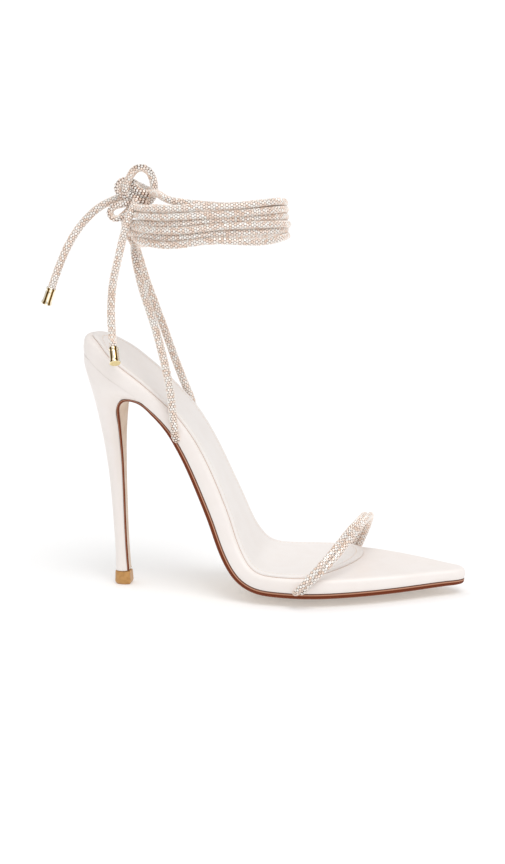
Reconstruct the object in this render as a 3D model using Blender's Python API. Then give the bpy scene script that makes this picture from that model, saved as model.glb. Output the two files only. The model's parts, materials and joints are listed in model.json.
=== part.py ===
"""Pointed high-heel sandal for a right foot.

A wrapped footbed stands on a slim covered heel. A leather outsole runs under it and down the heel's
front. A double cord crosses the toes, and a long cord is wound as an ankle strap and tied at the back.

The tables are in millimetres. X runs from heel to toe, the outer side of the foot is -Y, and the floor
is Z = 0. Finished meshes are in metres, with the origin on the floor under the middle of the shoe.
"""

import math

import bmesh
import bpy
import numpy as np

# Driving sizes, in millimetres
MM = 0.001
GAP = 0.3
MIDDLE_X = 104.5
CORD_RADIUS = 2.1
STRAP_RADIUS = 1.8
STRAP_SPREAD = 1.5
HEEL_ROUND = 24.0
TOE_ROUND = 5.0
OUTSOLE_THICK = 2.9
SOCK_THICK = 1.5
SOCK_INSET = 3.2
SOCK_FRONT = 60.5
SOCK_TAPER = 20.0
SOCK_SKEW = 0.34
SEAT_LENGTH = 44.5
LIFT_TOP = 7.3

# Lower edge of the footbed from heel to toe: its place, half the bed's width and the middle across the
# foot, the side wall's height, how far the underside sags, and how far the top is hollowed.
BED_COLUMNS = ("x", "z", "half", "middle", "wall", "crown", "dish")
BED_ROWS = (
    (0.2, 130.9, 25.0, 0.0, 10.3, 0.0, 0.0),
    (4.4, 130.3, 25.0, 0.0, 10.0, 0.0, 0.3),
    (9.8, 127.3, 25.0, 0.0, 9.4, 0.0, 0.9),
    (19.5, 120.4, 25.2, 0.0, 8.7, 0.0, 1.6),
    (30.5, 112.8, 24.6, -0.2, 8.0, 0.0, 2.0),
    (41.3, 103.9, 23.4, -0.6, 7.4, 0.4, 1.8),
    (51.0, 93.6, 22.2, -1.0, 7.6, 1.0, 1.6),
    (58.8, 81.0, 21.4, -1.4, 8.2, 1.7, 1.4),
    (65.9, 65.8, 21.4, -1.8, 8.6, 2.4, 1.2),
    (70.9, 54.0, 22.2, -2.0, 8.6, 2.9, 1.0),
    (75.9, 42.0, 23.8, -2.2, 8.4, 3.4, 0.9),
    (80.0, 31.4, 26.0, -2.2, 8.1, 4.0, 0.9),
    (85.0, 21.6, 29.2, -2.0, 7.9, 4.7, 0.8),
    (91.6, 13.8, 32.8, -1.4, 7.7, 5.3, 0.8),
    (100.0, 9.8, 36.0, -0.8, 7.5, 5.8, 0.8),
    (111.0, 8.6, 38.4, -0.3, 7.4, 6.1, 0.8),
    (125.0, 8.3, 39.4, 0.0, 7.4, 6.1, 0.8),
    (141.0, 8.4, 37.4, 0.4, 7.2, 5.9, 0.7),
    (157.0, 8.6, 32.4, 1.0, 6.9, 5.2, 0.5),
    (173.0, 8.8, 25.1, 1.5, 6.4, 3.8, 0.3),
    (187.0, 9.0, 17.1, 1.9, 5.9, 2.3, 0.1),
    (199.0, 9.1, 9.8, 2.1, 5.5, 1.0, 0.0),
    (208.7, 9.2, 5.2, 2.1, 5.2, 0.4, 0.0),
)

# Back face of the outsole's flap on the heel, from the heel tip up to the arch
FLAP_COLUMNS = ("x", "z", "half", "thick")
FLAP_ROWS = (
    (21.2, 7.7, 3.1, 1.1),
    (20.5, 22.0, 3.0, 1.1),
    (20.2, 42.0, 3.2, 1.1),
    (20.1, 60.0, 3.6, 1.1),
    (20.0, 76.0, 5.2, 1.2),
    (19.9, 88.0, 8.4, 1.3),
    (20.0, 97.5, 12.2, 1.4),
    (20.8, 103.6, 14.8, 1.5),
    (23.5, 107.0, 16.6, 1.6),
    (28.2, 108.4, 18.6, 1.6),
    (33.6, 107.8, 20.8, 1.6),
)
FLAP_JOIN = 47.0
FULL_EDGE_HALF = 10.0
SHANK_FADE = 28.0
BEND_AT = 150.0
BEND_SPAN = 26.0
BEND_EASE = 0.3

# Heel sections from the tip up: back edge, distance of the front edge along the flap, half width
HEEL_COLUMNS = ("x", "z", "along", "half")
HEEL_ROWS = (
    (14.2, 7.7, 0.0, 3.9),
    (14.2, 21.0, 13.4, 3.7),
    (13.5, 38.0, 30.5, 3.8),
    (12.5, 56.0, 48.5, 4.4),
    (11.1, 71.0, 63.0, 6.0),
    (9.3, 85.0, 75.5, 8.8),
    (7.0, 99.0, 86.0, 12.8),
    (4.9, 110.5, 93.0, 16.8),
    (2.6, 119.8, 99.0, 20.4),
    (0.9, 126.4, 104.5, 22.8),
    (0.6, 128.7, 109.6, 23.8),
)
HEEL_TURNS = 13

# Top lift under the heel tip: height and size of each section
LIFT_BACK = 13.5
LIFT_FRONT = 23.0
LIFT_HALF = 4.6
LIFT_ROWS = ((0.0, 0.86), (1.1, 1.0), (6.0, 0.95), (LIFT_TOP, 0.9))

# Side walls as steps of inset and share of the height, from the underside to the top
BED_LADDER = ((0.7, 0.0), (0.1, 0.25), (0.0, 0.55), (0.5, 0.84), (1.5, 0.97), (2.8, 1.0))
SOLE_LADDER = ((2.0, 0.0), (0.9, 0.35), (0.8, 1.0))
SOCK_LADDER = ((0.2, 0.0), (0.0, 0.45), (0.5, 0.88), (1.7, 1.0))

# Route of the toe strap's middle line, from its slot in the outer wall to its slot in the inner wall
TOE_STRAP_ROUTE = (
    (123.2, -35.6, 10.5),
    (124.5, -40.0, 10.9),
    (127.8, -42.4, 13.8),
    (133.2, -41.8, 18.8),
    (139.2, -37.4, 25.0),
    (145.2, -28.6, 31.9),
    (149.7, -17.4, 37.3),
    (152.9, -3.0, 40.2),
    (153.6, 13.0, 39.4),
    (150.8, 26.6, 33.0),
    (146.5, 36.9, 23.5),
    (143.2, 40.6, 16.8),
    (141.2, 40.2, 12.6),
    (140.2, 37.0, 10.9),
    (139.8, 33.6, 10.7),
)

# Routes of the two cords that rise from slots in the shank: one feeds the ankle strap, the other the knot
OUTER_RISER_ROUTE = (
    (57.3, -18.0, 89.4),
    (56.2, -22.7, 89.8),
    (55.2, -25.7, 94.6),
    (54.8, -26.3, 101.0),
    (53.9, -26.1, 112.0),
    (50.2, -24.2, 131.0),
    (43.6, -20.6, 152.9),
    (36.3, -16.4, 173.8),
    (33.4, -13.4, 185.0),
    (32.2, -11.0, 193.0),
)
INNER_RISER_ROUTE = (
    (56.8, 15.8, 91.8),
    (55.6, 20.4, 92.6),
    (54.4, 24.0, 97.4),
    (52.4, 23.0, 104.6),
    (48.4, 20.2, 117.0),
    (43.2, 18.0, 134.0),
    (36.2, 15.2, 156.8),
    (31.4, 13.2, 173.0),
    (28.8, 11.6, 184.6),
    (27.4, 8.4, 193.6),
    (26.6, 4.6, 200.4),
    (26.8, 1.4, 206.6),
    (29.2, -1.2, 212.6),
)

# Stretch of cord that leaves the top of the ankle strap for the knot
KNOT_LEAD_ROUTE = (
    (72.0, -33.0, 217.2),
    (62.0, -31.6, 218.8),
    (53.0, -25.4, 220.2),
    (46.6, -15.0, 220.2),
    (43.4, -8.0, 219.8),
)

# Ankle strap: six turns of cord lying on one another as a ring. Each row is a strand, from the lowest up:
# how far it stands out, how far it is drawn in near the knot, then its height at each turn, counted from
# the front by way of the inner side.
RING_CENTRE = (72.0, 0.0)
RING_HALF_LENGTH = 42.2
RING_HALF_WIDTH = 33.0
DRAWN_TURN = 196.0
DRAWN_SPAN = 62.0
STRAND_TURNS = (0.0, 90.0, 180.0, 215.0, 250.0, 285.0, 320.0)
STRAND_COLUMNS = ("reach", "drawn", "front", "inner", "back", "at_215", "at_250", "at_285", "at_320")
STRAND_ROWS = (
    (0.4, 0.0, 196.0, 187.0, 192.7, 195.6, 195.6, 198.4, 196.3),
    (-0.5, 0.0, 199.6, 189.9, 195.8, 199.3, 199.5, 202.1, 201.5),
    (0.5, 0.0, 203.2, 192.8, 198.9, 202.7, 203.3, 206.0, 205.7),
    (-0.3, 0.6, 206.8, 195.7, 202.0, 205.8, 206.9, 209.3, 209.2),
    (0.4, 2.6, 210.8, 198.6, 205.2, 209.3, 210.8, 212.5, 212.8),
    (-0.4, 2.8, 215.0, 201.5, 208.5, 213.2, 215.1, 216.7, 217.2),
)
RING_STEPS = 36

# Bow at the back of the ankle strap. The knot is two wraps of cord round an upright, leaning axis.
KNOT_CENTRE = (35.0, -4.2, 218.9)
KNOT_LEAN = 26.0
KNOT_HALF_LONG = 4.6
KNOT_HALF_DEEP = 3.4
KNOT_LEVELS = (-2.1, 2.1)
KNOT_SIDES = 14
KNOT_BULGE_ROUTE = (
    (31.0, -3.4, 222.4),
    (27.0, -3.9, 223.9),
    (23.9, -4.2, 222.8),
    (23.2, -4.0, 219.8),
    (25.6, -3.5, 217.2),
    (30.4, -3.4, 216.8),
)
UPPER_LOOP_ROUTE = (
    (28.4, -8.2, 224.6),
    (29.2, -7.6, 227.6),
    (31.4, -7.0, 231.2),
    (35.8, -7.0, 233.0),
    (40.3, -6.6, 231.4),
    (43.0, -6.1, 227.4),
    (43.6, -5.8, 224.6),
)
LOWER_LOOP_ROUTE = (
    (28.0, -7.4, 213.9),
    (25.2, -8.0, 213.2),
    (22.4, -8.5, 212.6),
    (20.2, -8.7, 211.0),
    (19.3, -8.7, 208.6),
    (20.3, -8.5, 206.6),
    (22.8, -8.2, 205.9),
    (25.2, -7.6, 207.0),
    (26.8, -7.0, 208.8),
)
BACK_END_ROUTE = (
    (22.4, -0.6, 215.8),
    (14.5, -0.9, 212.5),
    (3.9, -1.6, 204.2),
    (-4.9, -2.0, 192.5),
    (-11.6, -2.0, 179.2),
    (-16.8, -2.0, 165.8),
)
SIDE_END_ROUTE = (
    (31.4, -12.0, 216.4),
    (29.8, -16.0, 211.6),
    (29.0, -19.8, 203.6),
    (28.0, -22.9, 194.6),
    (26.2, -26.0, 185.0),
    (24.2, -27.6, 175.0),
    (22.8, -28.5, 158.0),
    (23.1, -29.2, 147.5),
    (23.7, -30.6, 142.9),
    (24.2, -32.0, 141.2),
    (24.7, -33.4, 139.5),
)
AGLET_RADIUS = 2.9
AGLET_LENGTH = 9.0

ROUTE_STEP = 7.0
RISER_STEP = 4.6
LOOP_STEP = 3.4
STRAP_STEPS = 26

# Colour, roughness and metallic value of each material
FINISHES = {
    "satin_leather": ((0.86, 0.80, 0.75), 0.42, 0.0),
    "sole_leather": ((0.42, 0.22, 0.14), 0.5, 0.0),
    "heel_tip": ((0.56, 0.30, 0.09), 0.4, 0.0),
    "crystal_cord": ((0.76, 0.66, 0.60), 0.25, 0.6),
    "gold_metal": ((0.83, 0.61, 0.27), 0.2, 1.0),
}


def columns(names, rows):
    """Turn a table's rows into one array for each named column."""
    return dict(zip(names, np.array(rows, float).T))


def spline(knots, values):
    """Smooth curve through values at increasing knots, as a function of distance."""
    knots = np.asarray(knots, float)
    values = np.asarray(values, float)
    count = len(knots)
    step = np.diff(knots)
    rise = np.diff(values) / step
    system = np.eye(count)
    target = np.zeros(count)
    for i in range(1, count - 1):
        system[i, i - 1:i + 2] = step[i - 1], 2 * (step[i - 1] + step[i]), step[i]
        target[i] = 6 * (rise[i] - rise[i - 1])
    bend = np.linalg.solve(system, target)

    def value(at):
        at = min(max(at, knots[0]), knots[-1])
        i = min(max(int(np.searchsorted(knots, at)) - 1, 0), count - 2)
        before = knots[i + 1] - at
        after = at - knots[i]
        cubic = (bend[i] * before ** 3 + bend[i + 1] * after ** 3) / (6 * step[i])
        left = (values[i] / step[i] - bend[i] * step[i] / 6) * before
        right = (values[i + 1] / step[i] - bend[i + 1] * step[i] / 6) * after
        return cubic + left + right

    return value


class Line:
    """A curve in the shoe's long upright plane, measured along its own length."""

    def __init__(self, xs, zs):
        runs = np.hypot(np.diff(xs), np.diff(zs))
        self.along = np.concatenate(([0.0], np.cumsum(runs)))
        self.length = float(self.along[-1])
        self.x = spline(self.along, xs)
        self.z = spline(self.along, zs)

    def upward(self, s):
        """Direction square to the curve, on its upper side."""
        ahead = min(s + 0.2, self.length)
        behind = max(s - 0.2, 0.0)
        dx = self.x(ahead) - self.x(behind)
        dz = self.z(ahead) - self.z(behind)
        size = math.hypot(dx, dz)
        return -dz / size, dx / size

    def place(self, s, y, lift):
        """Point at distance s, y across the foot and lift above the curve."""
        ux, uz = self.upward(s)
        return self.x(s) + lift * ux, y, self.z(s) + lift * uz


class Bed:
    """Footbed shape: its lower edge line, its outline, and the surfaces under and over it."""

    def __init__(self):
        table = columns(BED_COLUMNS, BED_ROWS)
        self.line = Line(table["x"], table["z"])
        self.length = self.line.length
        for name in BED_COLUMNS[2:]:
            setattr(self, name, spline(self.line.along, table[name]))

    def outline(self, s):
        """Half width of the outline, rounded at the heel and at the toe."""
        from_heel = max(1 - s / HEEL_ROUND, 0.0)
        from_toe = max(1 - (self.length - s) / TOE_ROUND, 0.0)
        ends = math.sqrt(max(1 - from_heel ** 2, 0.0)) * math.sqrt(max(1 - from_toe ** 2, 0.0))
        return self.half(s) * ends

    def across(self, s, y):
        """Share of the way from the middle to the edge, squared."""
        return min(((y - self.middle(s)) / self.half(s)) ** 2, 1.0)

    def under(self, s, y):
        """Height of the underside above the lower edge line."""
        return -max(self.crown(s), 0.0) * (1 - self.across(s, y))

    def over(self, s, y):
        """Height of the top above the lower edge line."""
        return self.wall(s) - max(self.dish(s), 0.0) * (1 - self.across(s, y))


def inward(outline, s, end):
    """Direction into the outline on its outer side, as parts along the line and across it."""
    if s <= 0.0:
        return 1.0, 0.0
    if s >= end:
        return -1.0, 0.0
    slope = (outline(min(s + 0.05, end)) - outline(max(s - 0.05, 0.0))) / 0.1
    size = math.hypot(slope, 1.0)
    return slope / size, 1.0 / size


def slab_rings(place, outline, middle, lower, upper, ladder, stations, end, across=5, ease=None):
    """Rings of points round a slab that follows a line, one ring for each station.

    Where a function ease is given, its value at the station scales the ladder's insets.
    """
    rings = []
    shares = np.linspace(-1, 1, across + 2)[1:-1]
    for s in stations:
        along, square = inward(outline, s, end)
        half = outline(s)
        scale = ease(s) if ease else 1.0

        def point(inset, share, side):
            inset = inset * scale
            at = s + inset * along
            y = middle(s) + side * max(half - inset * square, 0.0)
            low = lower(at, y)
            return place(at, y, low + share * (upper(at, y) - low))

        first, last = ladder[0], ladder[-1]
        ring = [point(inset, share, -1) for inset, share in ladder]
        ring += [point(last[0], last[1], side) for side in shares]
        ring += [point(inset, share, 1) for inset, share in reversed(ladder)]
        ring += [point(first[0], first[1], side) for side in reversed(shares)]
        rings.append(ring)
    return rings


def loft(rings, closed=False, caps=(False, False)):
    """Vertices and faces of a skin over rings with equal point counts."""
    size = len(rings[0])
    verts = [point for ring in rings for point in ring]
    faces = []
    last = len(rings) if closed else len(rings) - 1
    for i in range(last):
        here = i * size
        after = ((i + 1) % len(rings)) * size
        for j in range(size):
            k = (j + 1) % size
            faces.append((here + j, here + k, after + k, after + j))
    if caps[0]:
        faces.append(tuple(range(size)))
    if caps[1]:
        faces.append(tuple(range(len(verts) - size, len(verts))))
    return verts, faces


def finish_material(name):
    """Material with the named finish."""
    colour, roughness, metallic = FINISHES[name]
    material = bpy.data.materials.get(name) or bpy.data.materials.new(name)
    material.use_nodes = True
    shader = material.node_tree.nodes["Principled BSDF"]
    shader.inputs["Base Color"].default_value = (*colour, 1.0)
    shader.inputs["Roughness"].default_value = roughness
    shader.inputs["Metallic"].default_value = metallic
    material.diffuse_color = (*colour, 1.0)
    return material


def add_mesh(name, verts, faces, finish, collection):
    """Closed object from points in millimetres."""
    mesh = bpy.data.meshes.new(name)
    shape = bmesh.new()
    points = [shape.verts.new(((x - MIDDLE_X) * MM, y * MM, z * MM)) for x, y, z in verts]
    for face in faces:
        corners = [points[i] for i in face]
        shape.faces.new(corners)
    bmesh.ops.remove_doubles(shape, verts=shape.verts, dist=0.000002)
    bmesh.ops.dissolve_degenerate(shape, edges=shape.edges, dist=0.000001)
    bmesh.ops.recalc_face_normals(shape, faces=shape.faces)
    shape.to_mesh(mesh)
    shape.free()
    mesh.shade_smooth()
    mesh.set_sharp_from_angle(angle=math.radians(40))
    thing = bpy.data.objects.new(name, mesh)
    collection.objects.link(thing)
    if finish:
        mesh.materials.append(finish_material(finish))
    else:
        thing.hide_render = True
        thing.display_type = "WIRE"
    return thing


def route_points(route, step):
    """Points read at even steps from a smooth curve through a route."""
    route = np.array(route, float)
    along = np.concatenate(([0.0], np.cumsum(np.linalg.norm(np.diff(route, axis=0), axis=1))))
    axes = [spline(along, route[:, axis]) for axis in range(3)]
    count = max(int(round(along[-1] / step)), 2)
    return [tuple(axis(s) for axis in axes) for s in np.linspace(0, along[-1], count + 1)]


def add_tube(name, points, radius, finish, collection):
    """Cord as a bevelled curve with filled caps through points."""
    curve = bpy.data.curves.new(name, "CURVE")
    curve.dimensions = "3D"
    curve.bevel_depth = radius * MM
    curve.bevel_resolution = 2
    curve.use_fill_caps = True
    strand = curve.splines.new("POLY")
    strand.points.add(len(points) - 1)
    for point, (x, y, z) in zip(strand.points, points):
        point.co = ((x - MIDDLE_X) * MM, y * MM, z * MM, 1.0)
    tube = bpy.data.objects.new(name, curve)
    collection.objects.link(tube)
    if finish:
        curve.materials.append(finish_material(finish))
    return tube


def tube_to_mesh(tube, collection, finish):
    """Closed mesh object in place of a bevelled curve."""
    bpy.context.view_layer.update()
    graph = bpy.context.evaluated_depsgraph_get()
    mesh = bpy.data.meshes.new_from_object(tube.evaluated_get(graph))
    shape = bmesh.new()
    shape.from_mesh(mesh)
    bmesh.ops.remove_doubles(shape, verts=shape.verts, dist=0.000005)
    bmesh.ops.recalc_face_normals(shape, faces=shape.faces)
    shape.to_mesh(mesh)
    shape.free()
    name = tube.name
    curve = tube.data
    bpy.data.objects.remove(tube)
    bpy.data.curves.remove(curve)
    thing = bpy.data.objects.new(name, mesh)
    collection.objects.link(thing)
    mesh.materials.clear()
    if finish:
        mesh.materials.append(finish_material(finish))
    else:
        thing.hide_render = True
        thing.display_type = "WIRE"
    return thing


def combine(thing, other, operation):
    """Join another object to a thing, or cut it away, with an exact Boolean."""
    step = thing.modifiers.new(f"{operation.lower()} {other.name}", "BOOLEAN")
    step.operation = operation
    step.solver = "EXACT"
    step.object = other


def bed_stations(bed):
    """Distances along the footbed: close together round its ends, wider between them."""
    turns = np.radians(np.linspace(0, 90, 7))
    heel = HEEL_ROUND * (1 - np.cos(turns))
    toe = bed.length - TOE_ROUND * (1 - np.cos(np.radians(np.linspace(0, 90, 5))))[::-1]
    between = np.linspace(heel[-1], toe[0], 33)[1:-1]
    return np.concatenate((heel, between, toe))


def add_footbed(bed, collection):
    """Padded board wrapped in leather, with its top hollowed for the foot."""
    rings = slab_rings(bed.line.place, bed.outline, bed.middle, bed.under, bed.over,
                       BED_LADDER, bed_stations(bed), bed.length)
    return add_mesh("footbed", *loft(rings), "satin_leather", collection)


def add_insole(bed, collection):
    """Padded sock on the footbed, from the heel to just ahead of the toe strap."""
    start = SOCK_INSET
    end = bed.length - SOCK_FRONT - start

    def outline(s):
        from_heel = max(1 - s / (HEEL_ROUND - start), 0.0)
        from_toe = max(1 - (end - s) / SOCK_TAPER, 0.0)
        ends = math.sqrt(max(1 - from_heel ** 2, 0.0)) * math.sqrt(max(1 - from_toe ** 3, 0.0))
        return (bed.half(s + start) - SOCK_INSET) * ends

    def place(s, y, lift):
        skew = SOCK_SKEW * y * (s / end) ** 8
        return bed.line.place(s + start + skew, y, lift)

    def base(s, y):
        return bed.over(s + start, y) + GAP

    def top(s, y):
        return base(s, y) + SOCK_THICK

    def middle(s):
        return bed.middle(s + start)

    turns = np.radians(np.linspace(0, 90, 6))
    heel = (HEEL_ROUND - start) * (1 - np.cos(turns))
    toe = end - SOCK_TAPER * (1 - np.cos(np.radians(np.linspace(0, 90, 8))))[::-1]
    stations = np.concatenate((heel, np.linspace(heel[-1], toe[0], 22)[1:-1], toe))
    rings = slab_rings(place, outline, middle, base, top, SOCK_LADDER, stations, end)
    return add_mesh("insole", *loft(rings), "satin_leather", collection)


class Flap:
    """Outsole line: up the heel's front from the tip, round the arch, then along under the footbed."""

    def __init__(self, bed):
        table = columns(FLAP_COLUMNS, FLAP_ROWS)
        rest = np.arange(FLAP_JOIN, bed.length, 4.0)
        rest = np.append(rest, bed.length)
        joined = [bed.line.place(s, 0.0, -GAP) for s in rest]
        xs = np.concatenate((table["x"], [point[0] for point in joined]))
        zs = np.concatenate((table["z"], [point[2] for point in joined]))
        self.bed = bed
        self.line = Line(xs, zs)
        self.length = self.line.length
        self.join = float(self.line.along[len(FLAP_ROWS)])
        halves = np.append(table["half"], [bed.outline(s) for s in rest[:3]])
        knots = self.line.along[:len(halves)]
        self.narrow = spline(knots, halves)
        self.thick = table["thick"]

    def on_bed(self, q):
        """Distance along the footbed that matches a distance along the outsole."""
        share = (q - self.join) / (self.length - self.join)
        return FLAP_JOIN + share * (self.bed.length - FLAP_JOIN)

    def outline(self, q):
        """Half width of the outsole."""
        return self.narrow(q) if q < self.join else self.bed.outline(self.on_bed(q))

    def middle(self, q):
        """Middle of the outsole across the foot."""
        fade = min(q / self.join, 1.0) ** 4
        return fade * self.bed.middle(max(self.on_bed(q), FLAP_JOIN))

    def top(self, q, y):
        """Height of the face against footbed and heel above the line, eased down at the ball's bend."""
        if q < self.join:
            return 0.0
        s = self.on_bed(q)
        ease = BEND_EASE * max(1 - ((s - BEND_AT) / BEND_SPAN) ** 2, 0.0)
        return self.bed.under(s, y) - ease

    def bottom(self, q, y):
        """Height of the face towards the floor above the line."""
        rows = np.append(self.line.along[:len(self.thick)], self.join + SHANK_FADE)
        return self.top(q, y) - np.interp(q, rows, np.append(self.thick, OUTSOLE_THICK))


def add_outsole(flap, collection):
    """Leather outsole with the flap that lines the heel's front, and a flat patch to stand on."""
    heel = columns(HEEL_COLUMNS, HEEL_ROWS)["along"]
    arch = np.linspace(heel[-1], flap.join + 6.0, 6)[1:]
    tip = flap.length - TOE_ROUND * (1 - np.cos(np.radians(np.linspace(0, 90, 5))))[::-1]
    stations = np.concatenate((heel, arch, np.linspace(arch[-1], tip[0], 27)[1:-1], tip))

    def place(q, y, lift):
        x, y, z = flap.line.place(q, y, lift)
        return x, y, max(z, 0.0)

    def ease(q):
        return min(flap.narrow(q) / FULL_EDGE_HALF, 1.0) if q < flap.join else 1.0

    rings = slab_rings(place, flap.outline, flap.middle, flap.bottom, flap.top,
                       SOLE_LADDER, stations, flap.length, across=7, ease=ease)
    return add_mesh("outsole", *loft(rings, caps=(True, False)), "sole_leather", collection)


def heel_section(front, back, half, front_half):
    """Section of the heel: straight across its front, with full sides and a round back."""
    front = np.array(front)
    back = np.array(back)
    round_from = 0.42
    points = []
    for share in (0.0, 0.14, 0.28):
        widening = math.sin(share / round_from * math.pi / 2)
        points.append((share, -(front_half + (half - front_half) * widening)))
    for turn in np.radians(np.linspace(-90, 90, HEEL_TURNS)):
        points.append((round_from + (1 - round_from) * math.cos(turn), half * math.sin(turn)))
    for share, y in reversed(points[:3]):
        points.append((share, -y))
    for share in (0.5, 0.0, -0.5):
        points.append((0.0, front_half * share))
    places = [front + (back - front) * share for share, y in points]
    return [(place[0], y, place[1]) for place, (share, y) in zip(places, points)]


def seat_section(bed):
    """Top of the heel, lying against the underside of the footbed."""
    inset = 0.9
    sides = np.linspace(SEAT_LENGTH, HEEL_ROUND, 4)[:3]
    turns = np.radians(np.linspace(-90, 90, HEEL_TURNS))
    rows = [(s, -(bed.outline(s) - inset)) for s in sides]
    for turn in turns:
        s = HEEL_ROUND - (HEEL_ROUND - inset) * math.cos(turn)
        rows.append((s, (bed.half(s) - inset) * math.sin(turn)))
    rows += [(s, bed.outline(s) - inset) for s in reversed(sides)]
    front = bed.outline(SEAT_LENGTH) - inset
    rows += [(SEAT_LENGTH, front * share) for share in (0.5, 0.0, -0.5)]
    return [bed.line.place(s, y, -GAP) for s, y in rows]


def add_heel(bed, flap, collection):
    """Covered stiletto heel from its seat under the footbed down to the top lift."""
    rings = []
    for x, z, along, half in HEEL_ROWS:
        front = flap.line.place(along, 0.0, GAP)
        front_half = min(flap.narrow(along) - 0.1, half * 0.94)
        rings.append(heel_section((front[0], front[2]), (x, z), half, front_half))
    rings.append(seat_section(bed))
    verts, faces = loft(rings, caps=(True, False))
    size = len(rings[0])
    base = len(verts) - size
    corner = size - 4
    back = corner // 2
    across = [(0, 1, *range(corner - 1, size)), (back - 1, back, back + 1)]
    across += [(i, i + 1, corner - 1 - i, corner - i) for i in range(1, back - 1)]
    faces += [tuple(base + i for i in strip) for strip in across]
    return add_mesh("heel", verts, faces, "satin_leather", collection)


def add_top_lift(collection):
    """Wearing block under the heel tip."""
    rings = []
    centre = (LIFT_BACK + LIFT_FRONT) / 2
    reach = (LIFT_FRONT - LIFT_BACK) / 2
    for z, scale in LIFT_ROWS:
        ring = heel_section((centre + reach * scale, z), (centre - reach * scale, z),
                            LIFT_HALF * scale, LIFT_HALF * scale * 0.82)
        rings.append(ring)
    return add_mesh("top_lift", *loft(rings, caps=(True, True)), "heel_tip", collection)


def strap_rings(route, radius, spread, steps):
    """Rings of a double cord along a route, its two cords side by side along the shoe."""
    route = np.array(route_points(route, 1.0))
    along = np.linspace(0, len(route) - 1, steps)
    axes = [np.interp(along, np.arange(len(route)), route[:, axis]) for axis in range(3)]
    middle = np.stack(axes, 1)
    ahead = np.gradient(middle, axis=0)
    rings = []
    for centre, tangent in zip(middle, ahead):
        tangent = tangent / np.linalg.norm(tangent)
        wide = np.array((1.0, 0.0, 0.0)) - tangent[0] * tangent
        wide = wide / np.linalg.norm(wide)
        thick = np.cross(tangent, wide)
        ring = []
        for side in (1, -1):
            for turn in np.radians((-110, -66, -22, 22, 66, 110)):
                out = side * (spread + radius * math.cos(turn))
                ring.append(tuple(centre + wide * out + thick * (side * radius * math.sin(turn))))
        rings.append(ring)
    return rings


def add_toe_strap(footbed, collection, cutters):
    """Double cord over the toes, with its ends let into the footbed's walls."""
    rings = strap_rings(TOE_STRAP_ROUTE, STRAP_RADIUS, STRAP_SPREAD, STRAP_STEPS)
    strap = add_mesh("toe_strap", *loft(rings, caps=(True, True)), "crystal_cord", collection)
    wider = strap_rings(TOE_STRAP_ROUTE, STRAP_RADIUS + GAP, STRAP_SPREAD, STRAP_STEPS)
    start = np.array(wider[0]) + (np.array(wider[0]) - np.array(wider[1])) * 0.2
    end = np.array(wider[-1]) + (np.array(wider[-1]) - np.array(wider[-2])) * 0.2
    wider = [[tuple(p) for p in start]] + wider + [[tuple(p) for p in end]]
    slot = add_mesh("toe_strap_slot", *loft(wider, caps=(True, True)), None, cutters)
    combine(footbed, slot, "DIFFERENCE")
    return strap


def stacked(levels):
    """Outline up the side of round strands that lie on one another.

    Each row is the strand's number, the step out from its middle, and the height.
    """
    last = len(levels) - 1
    rows = []
    for i, level in enumerate(levels):
        spans = (-80, -30, 20) if i == 0 else (-20, 30, 80) if i == last else (-42, 0, 42)
        for span in np.radians(spans):
            rows.append((i, CORD_RADIUS * math.cos(span), level + CORD_RADIUS * math.sin(span)))
    return rows


def ring_rings():
    """Sections of the ankle strap, each a stack of round strands fused side by side."""
    strands = columns(STRAND_COLUMNS, STRAND_ROWS)
    turns = np.array(STRAND_TURNS)
    knots = np.concatenate((turns - 360, turns, turns + 360))
    heights = [spline(knots, np.tile(row[2:], 3)) for row in STRAND_ROWS]
    cx, cy = RING_CENTRE
    rings = []
    for turn in np.linspace(0, 360, RING_STEPS, endpoint=False):
        out = math.cos(math.radians(turn)), math.sin(math.radians(turn))
        near_knot = max(1 - ((turn - DRAWN_TURN) / DRAWN_SPAN) ** 2, 0.0) ** 2
        sides = [[], []]
        for i, step, z in stacked([height(turn) for height in heights]):
            for side, sign in enumerate((1, -1)):
                reach = strands["reach"][i] - strands["drawn"][i] * near_knot + sign * step
                x = cx + RING_HALF_LENGTH * out[0] + reach * out[0]
                y = cy + RING_HALF_WIDTH * out[1] + reach * out[1]
                sides[side].append((x, y, z))
        rings.append(sides[0] + sides[1][::-1])
    return rings


def add_ankle_strap(footbed, collection, cutters):
    """Ring of cord turns round the ankle, joined to the two cords that hold it to the shank."""
    ring = add_mesh("ankle_strap", *loft(ring_rings(), closed=True), "crystal_cord", collection)
    for name, route in (("outer_riser", OUTER_RISER_ROUTE), ("inner_riser", INNER_RISER_ROUTE)):
        points = route_points(route, RISER_STEP)
        riser = tube_to_mesh(add_tube(name, points, CORD_RADIUS, None, cutters), cutters, None)
        combine(ring, riser, "UNION")
        deeper = 2 * np.array(points[0]) - np.array(points[1])
        slot = add_tube(f"{name}_slot", [deeper, *points[:8]], CORD_RADIUS + GAP, None, cutters)
        combine(footbed, tube_to_mesh(slot, cutters, None), "DIFFERENCE")
    points = route_points(KNOT_LEAD_ROUTE, RISER_STEP)
    lead = tube_to_mesh(add_tube("knot_lead", points, CORD_RADIUS, None, cutters), cutters, None)
    combine(ring, lead, "UNION")
    return ring


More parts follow.
